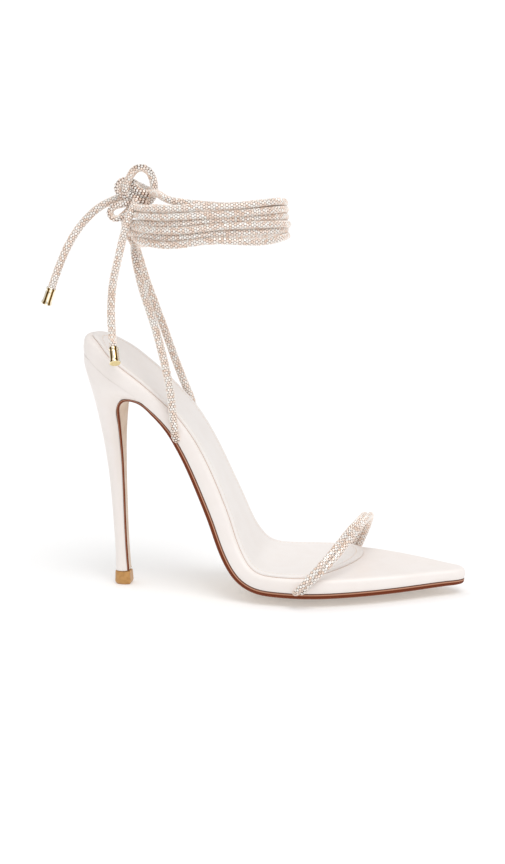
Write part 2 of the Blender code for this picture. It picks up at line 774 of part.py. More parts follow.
def add_knot(collection, cutters):
    """Knot of the bow: wraps of cord side by side, with one turn standing out beside them."""
    lean = math.radians(KNOT_LEAN)
    centre = np.array(KNOT_CENTRE)
    axis = np.array((math.sin(lean), 0.0, math.cos(lean)))
    long = np.array((math.cos(lean), 0.0, -math.sin(lean)))
    deep = np.array((0.0, 1.0, 0.0))
    rings = []
    for i, step, level in stacked(KNOT_LEVELS):
        ring = []
        for turn in np.linspace(0, 2 * math.pi, KNOT_SIDES, endpoint=False):
            aside = long * (KNOT_HALF_LONG + step) * math.cos(turn)
            depth = deep * (KNOT_HALF_DEEP + step) * math.sin(turn)
            ring.append(tuple(centre + axis * level + aside + depth))
        rings.append(ring)
    knot = add_mesh("knot", *loft(rings, caps=(True, True)), "crystal_cord", collection)
    points = route_points(KNOT_BULGE_ROUTE, LOOP_STEP)
    bulge = tube_to_mesh(add_tube("knot_bulge", points, CORD_RADIUS, None, cutters), cutters, None)
    combine(knot, bulge, "UNION")
    return knot


def add_aglet(name, route, collection):
    """Metal tip in line with the end of a cord."""
    points = np.array(route_points(route, 2.0))
    along = points[-1] - points[-2]
    along = along / np.linalg.norm(along)
    start = points[-1] + along * GAP
    points = [start + along * AGLET_LENGTH * share for share in (0.0, 0.5, 1.0)]
    return add_tube(name, points, AGLET_RADIUS, "gold_metal", collection)


def add_bow(collection, cutters):
    """Knot, two short loops and two hanging ends with their metal tips."""
    add_knot(collection, cutters)
    for name, route in (("upper_loop", UPPER_LOOP_ROUTE), ("lower_loop", LOWER_LOOP_ROUTE)):
        add_tube(name, route_points(route, LOOP_STEP), CORD_RADIUS, "crystal_cord", collection)
    for name, route in (("back_end", BACK_END_ROUTE), ("side_end", SIDE_END_ROUTE)):
        add_tube(name, route_points(route, ROUTE_STEP), CORD_RADIUS, "crystal_cord", collection)
        add_aglet(f"{name}_aglet", route, collection)


def main():
    """Build the sandal."""
    for thing in list(bpy.data.objects):
        bpy.data.objects.remove(thing)
    parts = bpy.data.collections.new("high_heel_sandal")
    cutters = bpy.data.collections.new("cutters")
    for collection in (parts, cutters):
        bpy.context.scene.collection.children.link(collection)
    bed = Bed()
    flap = Flap(bed)
    footbed = add_footbed(bed, parts)
    add_insole(bed, parts)
    add_outsole(flap, parts)
    add_heel(bed, flap, parts)
    add_top_lift(parts)
    add_toe_strap(footbed, parts, cutters)
    add_ankle_strap(footbed, parts, cutters)
    add_bow(parts, cutters)


main()
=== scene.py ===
"""Looks of a pointed high-heel sandal with crystal cords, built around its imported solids."""

import json
import logging
import math
from dataclasses import dataclass
from enum import Enum
from typing import Callable, Sequence

import bmesh
import bpy
import numpy as np
from mathutils import Matrix, Vector

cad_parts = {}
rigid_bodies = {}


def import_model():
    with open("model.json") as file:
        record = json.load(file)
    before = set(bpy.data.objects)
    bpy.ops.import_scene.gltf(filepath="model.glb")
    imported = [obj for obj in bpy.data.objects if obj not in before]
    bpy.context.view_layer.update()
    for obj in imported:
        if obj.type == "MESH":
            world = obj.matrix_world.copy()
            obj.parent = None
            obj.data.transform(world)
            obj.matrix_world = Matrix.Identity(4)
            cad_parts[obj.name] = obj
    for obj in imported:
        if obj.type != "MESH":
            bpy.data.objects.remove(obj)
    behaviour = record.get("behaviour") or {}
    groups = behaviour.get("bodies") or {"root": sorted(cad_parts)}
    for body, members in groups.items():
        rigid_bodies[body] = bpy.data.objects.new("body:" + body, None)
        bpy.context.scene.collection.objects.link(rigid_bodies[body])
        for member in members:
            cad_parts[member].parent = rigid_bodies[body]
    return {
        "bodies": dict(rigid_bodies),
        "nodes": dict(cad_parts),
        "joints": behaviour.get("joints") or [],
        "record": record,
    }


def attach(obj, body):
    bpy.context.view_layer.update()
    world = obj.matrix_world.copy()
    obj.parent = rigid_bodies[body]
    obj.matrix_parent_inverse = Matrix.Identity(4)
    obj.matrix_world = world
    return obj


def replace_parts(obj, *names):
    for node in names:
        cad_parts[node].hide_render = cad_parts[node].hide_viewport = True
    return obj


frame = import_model()

Array = np.ndarray
Surface = Callable[[Array, Array], Array]
Colour = tuple[float, float, float]
Point = tuple[float, float, float]
Socket = bpy.types.NodeSocket
Material = bpy.types.Material
Piece = bpy.types.Object

LOG = logging.getLogger("sandal")
BODY = "root"
MM = 0.001
MIDDLE_X = 104.5
SEAM = 0.1
FULL_TURN = 360.0
# Rim marks of a slab's two faces. Its side wall is marked from 0 at the lower face to 1 at the upper.
RIM_BELOW = -1.0
RIM_ABOVE = 2.0
# Fine points for each point of a route, and the fewest steps along one
FINE_POINTS = 20
LEAST_STEPS = 3
SLOPE_PROBE = 0.05
# Distances in metres at which points merge and slivers go, and the angle in degrees of a sharp edge
MERGE = 2e-6
SLIVER = 1e-6
SHARP_ANGLE = 50.0


class Slot(Enum):
    """Material slots of the record."""

    LEATHER = "satin_leather"
    SOLE = "sole_leather"
    TIP = "heel_tip"
    CORD = "crystal_cord"
    METAL = "gold_metal"


def metres(points: Sequence) -> Array:
    """Turn table millimetres into the part's frame, in metres."""
    return (np.array(points, float) - (MIDDLE_X, 0.0, 0.0)) * MM


class Smooth:
    """Smooth curve through values at increasing knots."""

    def __init__(self, knots: Sequence[float], values: Sequence) -> None:
        """Fit the curve.

        Args:
            knots: increasing distances.
            values: one number or one point for each knot.
        """
        self.knots = np.asarray(knots, float)
        self.values = np.asarray(values, float)
        count = len(self.knots)
        step = np.diff(self.knots)
        rise = np.diff(self.values.reshape(count, -1), axis=0) / step[:, None]
        system = np.eye(count)
        target = np.zeros((count, rise.shape[1]))
        for i in range(1, count - 1):
            system[i, i - 1:i + 2] = step[i - 1], 2 * (step[i - 1] + step[i]), step[i]
            target[i] = 6 * (rise[i] - rise[i - 1])
        self.bend = np.linalg.solve(system, target).reshape(self.values.shape)

    def __call__(self, at: Array) -> Array:
        """Read the curve.

        Args:
            at: distances, held between the first and last knot.

        Returns:
            The value at each distance.
        """
        at = np.clip(np.asarray(at, float), self.knots[0], self.knots[-1])
        i = np.clip(np.searchsorted(self.knots, at) - 1, 0, len(self.knots) - 2)
        step = self.knots[i + 1] - self.knots[i]
        before = self.knots[i + 1] - at
        after = at - self.knots[i]
        for _ in range(self.values.ndim - 1):
            step, before, after = step[..., None], before[..., None], after[..., None]
        cubic = (self.bend[i] * before ** 3 + self.bend[i + 1] * after ** 3) / (6 * step)
        left = (self.values[i] / step - self.bend[i] * step / 6) * before
        right = (self.values[i + 1] / step - self.bend[i + 1] * step / 6) * after
        return cubic + left + right


def chords(points: Array) -> Array:
    """Distance along a chain of points at each of them."""
    return np.concatenate(([0.0], np.cumsum(np.linalg.norm(np.diff(points, axis=0), axis=1))))


def unit(vectors: Array) -> Array:
    """Vectors brought to length 1."""
    return vectors / np.linalg.norm(vectors, axis=-1, keepdims=True)


def smooth_route(route: Sequence, step: float = 1.0) -> Array:
    """Points at even steps on a smooth curve through a route.

    Args:
        route: points in millimetres.
        step: distance between the points that are read, in millimetres.

    Returns:
        The points, in millimetres.
    """
    route = np.array(route, float)
    along = chords(route)
    fine = Smooth(along, route)(np.linspace(0, along[-1], FINE_POINTS * len(route)))
    along = chords(fine)
    count = max(int(round(along[-1] / step)), LEAST_STEPS)
    at = np.linspace(0, along[-1], count + 1)
    return np.stack([np.interp(at, along, fine[:, axis]) for axis in range(3)], 1)


def eased(low: float, high: float, at: Array) -> Array:
    """Smooth step from 0 at low to 1 at high."""
    share = np.clip((np.asarray(at, float) - low) / (high - low), 0, 1)
    return share * share * (3 - 2 * share)


def end_round(distance: Array, radius: float, power: int = 2) -> Array:
    """Share of the full width at a distance from a rounded end."""
    return np.sqrt(1 - np.clip(1 - distance / radius, 0, 1) ** power)


class Line:
    """A curve in the shoe's long upright plane, measured along its own length."""

    PROBE = 0.2

    def __init__(self, xs: Sequence[float], zs: Sequence[float]) -> None:
        """Fit the curve.

        Args:
            xs: distances along the floor.
            zs: heights above the floor.
        """
        path = np.stack((xs, zs), 1)
        self.along = chords(path)
        self.length = float(self.along[-1])
        self.path = Smooth(self.along, path)

    def place(self, s: Array, y: Array, lift: Array) -> Array:
        """Points beside the curve.

        Args:
            s: distances along the curve.
            y: places across the foot.
            lift: heights above the curve, square to it.

        Returns:
            The points, in millimetres.
        """
        ahead = self.path(np.minimum(s + self.PROBE, self.length))
        behind = self.path(np.maximum(s - self.PROBE, 0.0))
        run = unit(ahead - behind)
        base = self.path(s)
        x = base[..., 0] - lift * run[..., 1]
        z = base[..., 1] + lift * run[..., 0]
        return np.stack(np.broadcast_arrays(x, y, z), -1)


class Bed:
    """Footbed shape: its lower edge line, its outline, and the surfaces under and over it."""

    COLUMNS = ("x", "z", "half", "middle", "wall", "crown", "dish")
    ROWS = (
        (0.2, 130.9, 25.0, 0.0, 10.3, 0.0, 0.0),
        (4.4, 130.3, 25.0, 0.0, 10.0, 0.0, 0.3),
        (9.8, 127.3, 25.0, 0.0, 9.4, 0.0, 0.9),
        (19.5, 120.4, 25.2, 0.0, 8.7, 0.0, 1.6),
        (30.5, 112.8, 24.6, -0.2, 8.0, 0.0, 2.0),
        (41.3, 103.9, 23.4, -0.6, 7.4, 0.4, 1.8),
        (51.0, 93.6, 22.2, -1.0, 7.6, 1.0, 1.6),
        (58.8, 81.0, 21.4, -1.4, 8.2, 1.7, 1.4),
        (65.9, 65.8, 21.4, -1.8, 8.6, 2.4, 1.2),
        (70.9, 54.0, 22.2, -2.0, 8.6, 2.9, 1.0),
        (75.9, 42.0, 23.8, -2.2, 8.4, 3.4, 0.9),
        (80.0, 31.4, 26.0, -2.2, 8.1, 4.0, 0.9),
        (85.0, 21.6, 29.2, -2.0, 7.9, 4.7, 0.8),
        (91.6, 13.8, 32.8, -1.4, 7.7, 5.3, 0.8),
        (100.0, 9.8, 36.0, -0.8, 7.5, 5.8, 0.8),
        (111.0, 8.6, 38.4, -0.3, 7.4, 6.1, 0.8),
        (125.0, 8.3, 39.4, 0.0, 7.4, 6.1, 0.8),
        (141.0, 8.4, 37.4, 0.4, 7.2, 5.9, 0.7),
        (157.0, 8.6, 32.4, 1.0, 6.9, 5.2, 0.5),
        (173.0, 8.8, 25.1, 1.5, 6.4, 3.8, 0.3),
        (187.0, 9.0, 17.1, 1.9, 5.9, 2.3, 0.1),
        (199.0, 9.1, 9.8, 2.1, 5.5, 1.0, 0.0),
        (208.7, 9.2, 5.2, 2.1, 5.2, 0.4, 0.0),
    )
    HEEL_ROUND = 24.0
    TOE_ROUND = 5.0

    def __init__(self) -> None:
        """Fit a curve to each column of the table."""
        table = dict(zip(self.COLUMNS, np.array(self.ROWS).T))
        self.line = Line(table["x"], table["z"])
        self.length = self.line.length
        self.half, self.middle, self.wall, self.crown, self.dish = (
            Smooth(self.line.along, table[name]) for name in self.COLUMNS[2:])

    def outline(self, s: Array) -> Array:
        """Half width of the outline, rounded at the heel and at the toe."""
        return self.half(s) * end_round(s, self.HEEL_ROUND) * end_round(self.length - s, self.TOE_ROUND)

    def across(self, s: Array, y: Array) -> Array:
        """Share of the way from the middle to the edge, squared."""
        return np.minimum(((y - self.middle(s)) / self.half(s)) ** 2, 1.0)

    def under(self, s: Array, y: Array) -> Array:
        """Height of the underside above the lower edge line."""
        return -np.maximum(self.crown(s), 0) * (1 - self.across(s, y))

    def over(self, s: Array, y: Array) -> Array:
        """Height of the top above the lower edge line."""
        return self.wall(s) - np.maximum(self.dish(s), 0) * (1 - self.across(s, y))


class Flap:
    """Outsole line: up the heel's front from the tip, round the arch, then along under the footbed."""

    COLUMNS = ("x", "z", "half", "thick")
    ROWS = (
        (21.2, 7.7, 3.1, 1.1),
        (20.5, 22.0, 3.0, 1.1),
        (20.2, 42.0, 3.2, 1.1),
        (20.1, 60.0, 3.6, 1.1),
        (20.0, 76.0, 5.2, 1.2),
        (19.9, 88.0, 8.4, 1.3),
        (20.0, 97.5, 12.2, 1.4),
        (20.8, 103.6, 14.8, 1.5),
        (23.5, 107.0, 16.6, 1.6),
        (28.2, 108.4, 18.6, 1.6),
        (33.6, 107.8, 20.8, 1.6),
    )
    JOIN = 47.0
    JOIN_STEP = 4.0
    SHARED_HALVES = 3
    FADE = 28.0
    THICK = 2.9
    FULL_EDGE_HALF = 10.0
    MIDDLE_POWER = 4

    def __init__(self, bed: Bed) -> None:
        """Join the flap's table to the footbed's lower edge line.

        Args:
            bed: the footbed that the outsole lies under.
        """
        table = dict(zip(self.COLUMNS, np.array(self.ROWS).T))
        rest = np.append(np.arange(self.JOIN, bed.length, self.JOIN_STEP), bed.length)
        joined = bed.line.place(rest, np.zeros_like(rest), np.full_like(rest, -SEAM))
        self.bed = bed
        self.line = Line(np.append(table["x"], joined[:, 0]), np.append(table["z"], joined[:, 2]))
        self.length = self.line.length
        self.join = float(self.line.along[len(self.ROWS)])
        halves = np.append(table["half"], bed.outline(rest[:self.SHARED_HALVES]))
        self.narrow = Smooth(self.line.along[:len(halves)], halves)
        self.thick_at = np.append(self.line.along[:len(self.ROWS)], self.join + self.FADE)
        self.thick = np.append(table["thick"], self.THICK)

    def on_bed(self, q: Array) -> Array:
        """Distance along the footbed that matches a distance along the outsole."""
        share = (q - self.join) / (self.length - self.join)
        return self.JOIN + np.maximum(share, 0) * (self.bed.length - self.JOIN)

    def outline(self, q: Array) -> Array:
        """Half width of the outsole."""
        return np.where(q < self.join, self.narrow(q), self.bed.outline(self.on_bed(q)))

    def middle(self, q: Array) -> Array:
        """Middle of the outsole across the foot."""
        return np.clip(q / self.join, 0, 1) ** self.MIDDLE_POWER * self.bed.middle(self.on_bed(q))

    def top(self, q: Array, y: Array) -> Array:
        """Height of the face against footbed and heel above the line."""
        return np.where(q >= self.join, self.bed.under(self.on_bed(q), y), 0.0)

    def bottom(self, q: Array, y: Array) -> Array:
        """Height of the face towards the floor above the line."""
        return self.top(q, y) - np.interp(q, self.thick_at, self.thick)

    def ease(self, q: Array) -> Array:
        """Share of the full edge rounding that the slim flap takes."""
        return np.where(q < self.join, np.minimum(self.narrow(q) / self.FULL_EDGE_HALF, 1), 1.0)

    def place(self, q: Array, y: Array, lift: Array) -> Array:
        """Points on the outsole, kept above the floor."""
        return np.maximum(self.line.place(q, y, lift), (-np.inf, -np.inf, 0.0))


def fine_ladder(ladder: Sequence, count: int, height: float) -> Array:
    """Round off a ladder of inset and share into many small steps.

    Args:
        ladder: rows of inset in millimetres and share of the height.
        count: number of steps to return.
        height: height in millimetres that the share stands for.

    Returns:
        Rows of inset and share.
    """
    rows = np.array(ladder, float)
    along = chords(rows * (1.0, height))
    return Smooth(along, rows)(np.linspace(0, along[-1], count))


def round_slab(wall: Array, above: float, below: float, across: int) -> Array:
    """Values round a slab: up its near wall, across its top, down its far wall and back underneath."""
    return np.concatenate((wall, np.full(across, above), wall[::-1], np.full(across, below)))


def slab(place: Callable, outline: Callable, middle: Callable, lower: Surface, upper: Surface,
         ladder: Array, stations: Array, end: float, across: int,
         ease: Callable | None = None) -> tuple[Array, Array]:
    """Rings of points round a slab that follows a line.

    Args:
        place: gives points from distance, place across and lift.
        outline: half width at a distance.
        middle: middle across the foot at a distance.
        lower: height of the lower face.
        upper: height of the upper face.
        ladder: rows of inset and share of the height, from the lower face up.
        stations: distances of the rings.
        end: last distance of the slab.
        across: number of points across each face.
        ease: share of the insets that is used at a distance.

    Returns:
        The points in millimetres, and the rim mark of each.
    """
    inner = np.linspace(-1, 1, across + 2)[1:-1]
    low, high = ladder[0], ladder[-1]
    inset = round_slab(ladder[:, 0], high[0], low[0], across)
    share = round_slab(ladder[:, 1], high[1], low[1], across)
    rim = round_slab(ladder[:, 1], RIM_ABOVE, RIM_BELOW, across)
    side = np.concatenate((-np.ones(len(ladder)), inner, np.ones(len(ladder)), inner[::-1]))
    s = np.asarray(stations, float)[:, None]
    ahead = outline(np.minimum(s + SLOPE_PROBE, end))
    slope = (ahead - outline(np.maximum(s - SLOPE_PROBE, 0.0))) / (2 * SLOPE_PROBE)
    size = np.hypot(slope, 1.0)
    at_end = (s <= 0) | (s >= end)
    along = np.where(at_end, np.where(s <= 0, 1.0, -1.0), slope / size)
    square = np.where(at_end, 0.0, 1.0 / size)
    inset = inset[None, :] * (ease(s) if ease else 1.0)
    at = s + inset * along
    y = middle(s) + side * np.maximum(outline(s) - inset * square, 0.0)
    base = lower(at, y)
    points = place(at, y, base + share * (upper(at, y) - base))
    return points, np.broadcast_to(rim, points.shape[:2])


def rounded(start: float, end: float, radius: tuple[float, float], counts: tuple[int, int, int]) -> Array:
    """Distances along a slab, close together round its two ends.

    Args:
        start: first distance.
        end: last distance.
        radius: length of the rounding at the first and last end.
        counts: number of steps in the first end, between the ends, and in the last end.

    Returns:
        The distances.
    """
    first = start + radius[0] * (1 - np.cos(np.linspace(0, math.pi / 2, counts[0])))
    last = end - radius[1] * (1 - np.cos(np.linspace(0, math.pi / 2, counts[2])))[::-1]
    return np.concatenate((first, np.linspace(first[-1], last[0], counts[1])[1:-1], last))


def add_piece(name: str, mesh: bpy.types.Mesh) -> Piece:
    """Object for a finished mesh, riding on the shoe.

    Args:
        name: name of the piece.
        mesh: its mesh, with its materials.

    Returns:
        The piece.
    """
    piece = bpy.data.objects.new(name, mesh)
    bpy.context.scene.collection.objects.link(piece)
    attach(piece, BODY)
    return piece


def skin(name: str, rings: Array, material: Material,
         caps: tuple[bool, bool] = (False, False), rim: Array | None = None) -> Piece:
    """Closed mesh object over rings of points.

    Args:
        name: name of the piece.
        rings: points in millimetres, ring by ring.
        material: finish of the piece.
        caps: whether the first and last ring are filled.
        rim: value for each point that the finish reads as the attribute rim.

    Returns:
        The piece, riding on the shoe.
    """
    count, size = rings.shape[:2]
    shape = bmesh.new()
    layer = shape.verts.layers.float.new("rim")
    flat = metres(rings.reshape(-1, 3))
    marks = np.zeros(len(flat)) if rim is None else rim.reshape(-1)
    verts = []
    for point, mark in zip(flat, marks):
        vert = shape.verts.new(point)
        vert[layer] = mark
        verts.append(vert)
    for here in range(0, (count - 1) * size, size):
        after = here + size
        for j in range(size):
            k = (j + 1) % size
            shape.faces.new((verts[here + j], verts[here + k], verts[after + k], verts[after + j]))
    for filled, first in zip(caps, (0, len(verts) - size)):
        if filled:
            ring = verts[first:first + size]
            centre = shape.verts.new(sum((v.co for v in ring), Vector()) / size)
            centre[layer] = ring[0][layer]
            for j in range(size):
                shape.faces.new((ring[j], ring[(j + 1) % size], centre))
    bmesh.ops.remove_doubles(shape, verts=shape.verts, dist=MERGE)
    bmesh.ops.dissolve_degenerate(shape, edges=shape.edges, dist=SLIVER)
    bmesh.ops.recalc_face_normals(shape, faces=shape.faces)
    mesh = bpy.data.meshes.new(name)
    shape.to_mesh(mesh)
    shape.free()
    mesh.shade_smooth()
    mesh.set_sharp_from_angle(angle=math.radians(SHARP_ANGLE))
    mesh.materials.append(material)
    return add_piece(name, mesh)


def live(sockets: Sequence[Socket], name: str | None = None) -> Socket:
    """First socket in use, of a given name if there is one."""
    return next(s for s in sockets if s.enabled and name in (None, s.name))


class NodeWork:
    """Base of the classes that fill a node tree."""

    tree: bpy.types.NodeTree

    def feed(self, socket: Socket, source: object) -> None:
        """Link or set an input socket.

        Args:
            socket: the input.
            source: an output to link to it, or its value.
        """
        if isinstance(source, Socket):
            self.tree.links.new(source, socket)
        else:
            socket.default_value = source

    def node(self, kind: str, links: dict | None = None, **values: object) -> bpy.types.Node:
        """Add a node.

        Args:
            kind: Blender's name of the node.
            links: input sockets by name or number, with the output or value each takes.
            values: settings of the node.

        Returns:
            The node.
        """
        node = self.tree.nodes.new(kind)
        for name, value in values.items():
            setattr(node, name, value)
        for socket, source in (links or {}).items():
            self.feed(node.inputs[socket], source)
        return node

    def math(self, operation: str, first: object, second: object) -> Socket:
        """Sum, product, test or other simple working of two values."""
        return self.node("ShaderNodeMath", {0: first, 1: second}, operation=operation).outputs[0]


class Shader(NodeWork):
    """Nodes of one material, laid out from its Principled shader."""

    NOISE_LOW = 0.3
    NOISE_HIGH = 0.7

    def __init__(self, name: str, **values: float | tuple) -> None:
        """Start a material.

        Args:
            name: name of the material.
            values: the shader's own sockets, with underscores for spaces.
        """
        self.material = bpy.data.materials.new(name)
        self.material.use_nodes = True
        self.tree = self.material.node_tree
        self.surface = self.tree.nodes["Principled BSDF"]
        for socket, value in values.items():
            self.to(socket.replace("_", " "), value)

    def to(self, socket: str, source: object) -> None:
        """Feed one of the shader's sockets."""
        self.feed(self.surface.inputs[socket], source)

    def place(self) -> Socket:
        """Place on the piece, in metres."""
        return self.node("ShaderNodeTexCoord").outputs["Object"]

    def attribute(self, name: str) -> Socket:
        """Value that the piece's points carry under a name."""
        return self.node("ShaderNodeAttribute", attribute_name=name).outputs["Fac"]

    def noise(self, size: float, detail: float = 2.0) -> Socket:
        """Cloudy pattern whose patches are about size millimetres."""
        links = {"Vector": self.place(), "Scale": 1 / (size * MM), "Detail": detail}
        return self.node("ShaderNodeTexNoise", links).outputs["Fac"]

    def ramp(self, source: Socket, stops: Sequence[tuple[float, Colour]]) -> Socket:
        """Colours along a value.

        Args:
            source: the value.
            stops: places from 0 to 1 with their colours.

        Returns:
            The colour.
        """
        node = self.node("ShaderNodeValToRGB", {"Fac": source})
        elements = node.color_ramp.elements
        while len(elements) < len(stops):
            elements.new(1.0)
        for element, (place, colour) in zip(elements, stops):
            element.position = place
            element.color = (*colour, 1.0)
        return node.outputs["Color"]

    def between(self, source: Socket, low: float, high: float) -> Socket:
        """Spread a noise between two values.

        Args:
            source: the noise.
            low: value at its low end.
            high: value at its high end.

        Returns:
            The value.
        """
        links = {"Value": source, "From Min": self.NOISE_LOW, "From Max": self.NOISE_HIGH,
                 "To Min": low, "To Max": high}
        return self.node("ShaderNodeMapRange", links).outputs["Result"]

    def mix(self, share: Socket, first: object, second: object) -> Socket:
        """Mix two colours.

        Args:
            share: share of the second colour.
            first: first colour, as an output or a value.
            second: second colour, as an output or a value.

        Returns:
            The mixed colour.
        """
        node = self.node("ShaderNodeMix", data_type="RGBA", blend_type="MIX")
        for socket, value in zip([s for s in node.inputs if s.enabled], (share, first, second)):
            self.feed(socket, value)
        return live(node.outputs)

    def bump(self, height: Socket, depth: float, strength: float) -> None:
        """Relief of a height pattern, depth in millimetres."""
        links = {"Height": height, "Strength": strength, "Distance": depth * MM}
        self.to("Normal", self.node("ShaderNodeBump", links).outputs["Normal"])


@dataclass(frozen=True)
class Leather:
    """Satin leather with a fine grain and a faint cloudiness, and a cut edge where it has one."""

    name: str
    colour: Colour
    shade: Colour
    roughness: tuple[float, float] = (0.35, 0.46)
    grain: float = 0.55
    depth: float = 0.035
    edge: Colour | None = None
    edge_share: float = 0.04

    def material(self) -> Material:
        """Build the finish.

        Returns:
            The material.
        """
        shader = Shader(self.name, Coat_Weight=0.12, Coat_Roughness=0.28, Specular_IOR_Level=0.45)
        colour = shader.ramp(shader.noise(size=9.0), ((0.3, self.shade), (0.62, self.colour)))
        if self.edge:
            cut = shader.math("LESS_THAN", shader.attribute("rim"), self.edge_share)
            colour = shader.mix(cut, colour, (*self.edge, 1.0))
        shader.to("Base Color", colour)
        shader.to("Roughness", shader.between(shader.noise(size=2.4, detail=3.0), *self.roughness))
        links = {"Vector": shader.place(), "Scale": 1 / (self.grain * MM)}
        cells = shader.node("ShaderNodeTexVoronoi", links, feature="SMOOTH_F1").outputs["Distance"]
        shader.bump(cells, depth=self.depth, strength=0.5)
        return shader.material


@dataclass(frozen=True)
class SoleLeather:
    """Outsole leather: painted edge with a lighter line near its top and a dark band of painted shade above
    it, where it meets the footbed, and a plain buffed underside.
    """

    low: Colour = (0.240, 0.075, 0.034)
    paint: Colour = (0.165, 0.034, 0.010)
    line: Colour = (0.560, 0.290, 0.190)
    seam_shade: Colour = (0.150, 0.070, 0.045)
    under: Colour = (0.780, 0.660, 0.550)
    worn: Colour = (0.700, 0.570, 0.450)
    under_mark: float = -0.04

    def material(self) -> Material:
        """Build the finish.

        Returns:
            The material.
        """
        shader = Shader("sole_edge_and_underside", Specular_IOR_Level=0.12)
        rim = shader.attribute("rim")
        # Painted shade: the last band of the edge ramp darkens the top of the edge under the footbed
        edge = shader.ramp(rim, ((0.0, self.low), (0.22, self.paint), (0.56, self.paint),
                                 (0.66, self.line), (0.76, self.line), (0.84, self.seam_shade)))
        under = shader.ramp(shader.noise(size=6.0, detail=5.0), ((0.35, self.worn), (0.55, self.under)))
        below = shader.math("LESS_THAN", rim, self.under_mark)
        shader.to("Base Color", shader.mix(below, edge, under))
        shader.to("Roughness", shader.between(shader.noise(size=3.0, detail=4.0), low=0.38, high=0.55))
        shader.bump(shader.noise(size=0.8, detail=4.0), depth=0.05, strength=0.4)
        return shader.material


@dataclass(frozen=True)
class Resin:
    """Moulded top lift of the heel."""

    colour: Colour = (0.560, 0.290, 0.080)
    shade: Colour = (0.470, 0.225, 0.055)

    def material(self) -> Material:
        """Build the finish.

        Returns:
            The material.
        """
        shader = Shader("heel_tip_resin", Coat_Weight=0.25, Coat_Roughness=0.2)
        cloud = shader.noise(size=2.2, detail=3.0)
        shader.to("Base Color", shader.ramp(cloud, ((0.35, self.shade), (0.6, self.colour))))
        shader.to("Roughness", shader.between(shader.noise(size=1.2, detail=3.0), low=0.32, high=0.48))
        shader.bump(shader.noise(size=0.5, detail=3.0), depth=0.03, strength=0.4)
        return shader.material


@dataclass(frozen=True)
class Gold:
    """Gold-coloured metal of the cord tips: painted reflections down the body, dark stripes and white
    highlights round it, and a satin end.
    """

    deep: Colour = (0.085, 0.038, 0.010)
    colour: Colour = (0.640, 0.400, 0.120)
    bright: Colour = (0.960, 0.820, 0.500)
    white: Colour = (1.0, 0.960, 0.860)
    satin: Colour = (0.860, 0.720, 0.380)
    end_mark: float = 1.5

    def material(self) -> Material:
        """Build the finish.

        Returns:
            The material.
        """
        shader = Shader("gold_with_painted_reflections", Metallic=1.0)
        rim = shader.attribute("rim")
        # Painted reflection: the body's deep, bright and white stripes stand in for the studio mirrored in
        # the polished metal.
        body = shader.ramp(rim, ((0.0, self.deep), (0.16, self.deep), (0.34, self.colour),
                                 (0.60, self.bright), (0.92, self.white)))
        end = shader.math("GREATER_THAN", rim, self.end_mark)
        shader.to("Base Color", shader.mix(end, body, (*self.satin, 1.0)))
        rough = {"Value": end, "To Min": 0.14, "To Max": 0.36}
        shader.to("Roughness", shader.node("ShaderNodeMapRange", rough).outputs["Result"])
        shader.bump(shader.noise(size=0.5, detail=3.0), depth=0.015, strength=0.3)
        return shader.material


@dataclass(frozen=True)
class MeshMetal:
    """Rose-gold mesh under the stones of a cord, darkened so that it also paints the shade in the gaps
    between the stones.
    """

    # Dark tone: partly the metal's own colour, partly painted shade in the gaps between stones
    colour: Colour = (0.30, 0.15, 0.09)
    shade: Colour = (0.10, 0.045, 0.025)

    def material(self) -> Material:
        """Build the finish.

        Returns:
            The material.
        """
        shader = Shader("rose_gold_mesh_darkened_as_gap_shade", Metallic=0.7)
        cloud = shader.noise(size=0.7, detail=3.0)
        shader.to("Base Color", shader.ramp(cloud, ((0.4, self.shade), (0.6, self.colour))))
        shader.to("Roughness", shader.between(shader.noise(size=0.5), low=0.3, high=0.45))
        shader.bump(shader.noise(size=0.3), depth=0.08, strength=0.6)
        return shader.material


@dataclass(frozen=True)
class Stone:
    """Small clear stones in champagne settings, no two quite as bright: the random brightness per stone is
    partly a tint that varies from stone to stone and partly painted glint.
    """

    deep: Colour = (0.86, 0.66, 0.53)
    warm: Colour = (0.96, 0.79, 0.68)
    pale: Colour = (1.0, 0.88, 0.79)
    white: Colour = (1.0, 0.96, 0.91)

    def material(self) -> Material:
        """Build the finish.

        Returns:
            The material.
        """
        shader = Shader("clear_stones", Metallic=0.12, Roughness=0.12, Coat_Weight=0.6, Coat_Roughness=0.04)
        # Painted glint: white stones stand for sparkling facets, deep ones for facets that mirror dark
        # surroundings
        stops = ((0.0, self.deep), (0.22, self.warm), (0.5, self.pale), (0.78, self.white))
        shader.to("Base Color", shader.ramp(shader.attribute("glint"), stops))
        return shader.material


@dataclass(frozen=True)
class Thread:
    """Sewing thread."""

    colour: Colour = (0.88, 0.76, 0.66)
    shade: Colour = (0.78, 0.64, 0.53)

    def material(self) -> Material:
        """Build the finish.

        Returns:
            The material.
        """
        shader = Shader("cream_thread", Roughness=0.6)
        cloud = shader.noise(size=0.6)
        shader.to("Base Color", shader.ramp(cloud, ((0.35, self.shade), (0.65, self.colour))))
        shader.bump(shader.noise(size=0.25), depth=0.05, strength=0.5)
        return shader.material


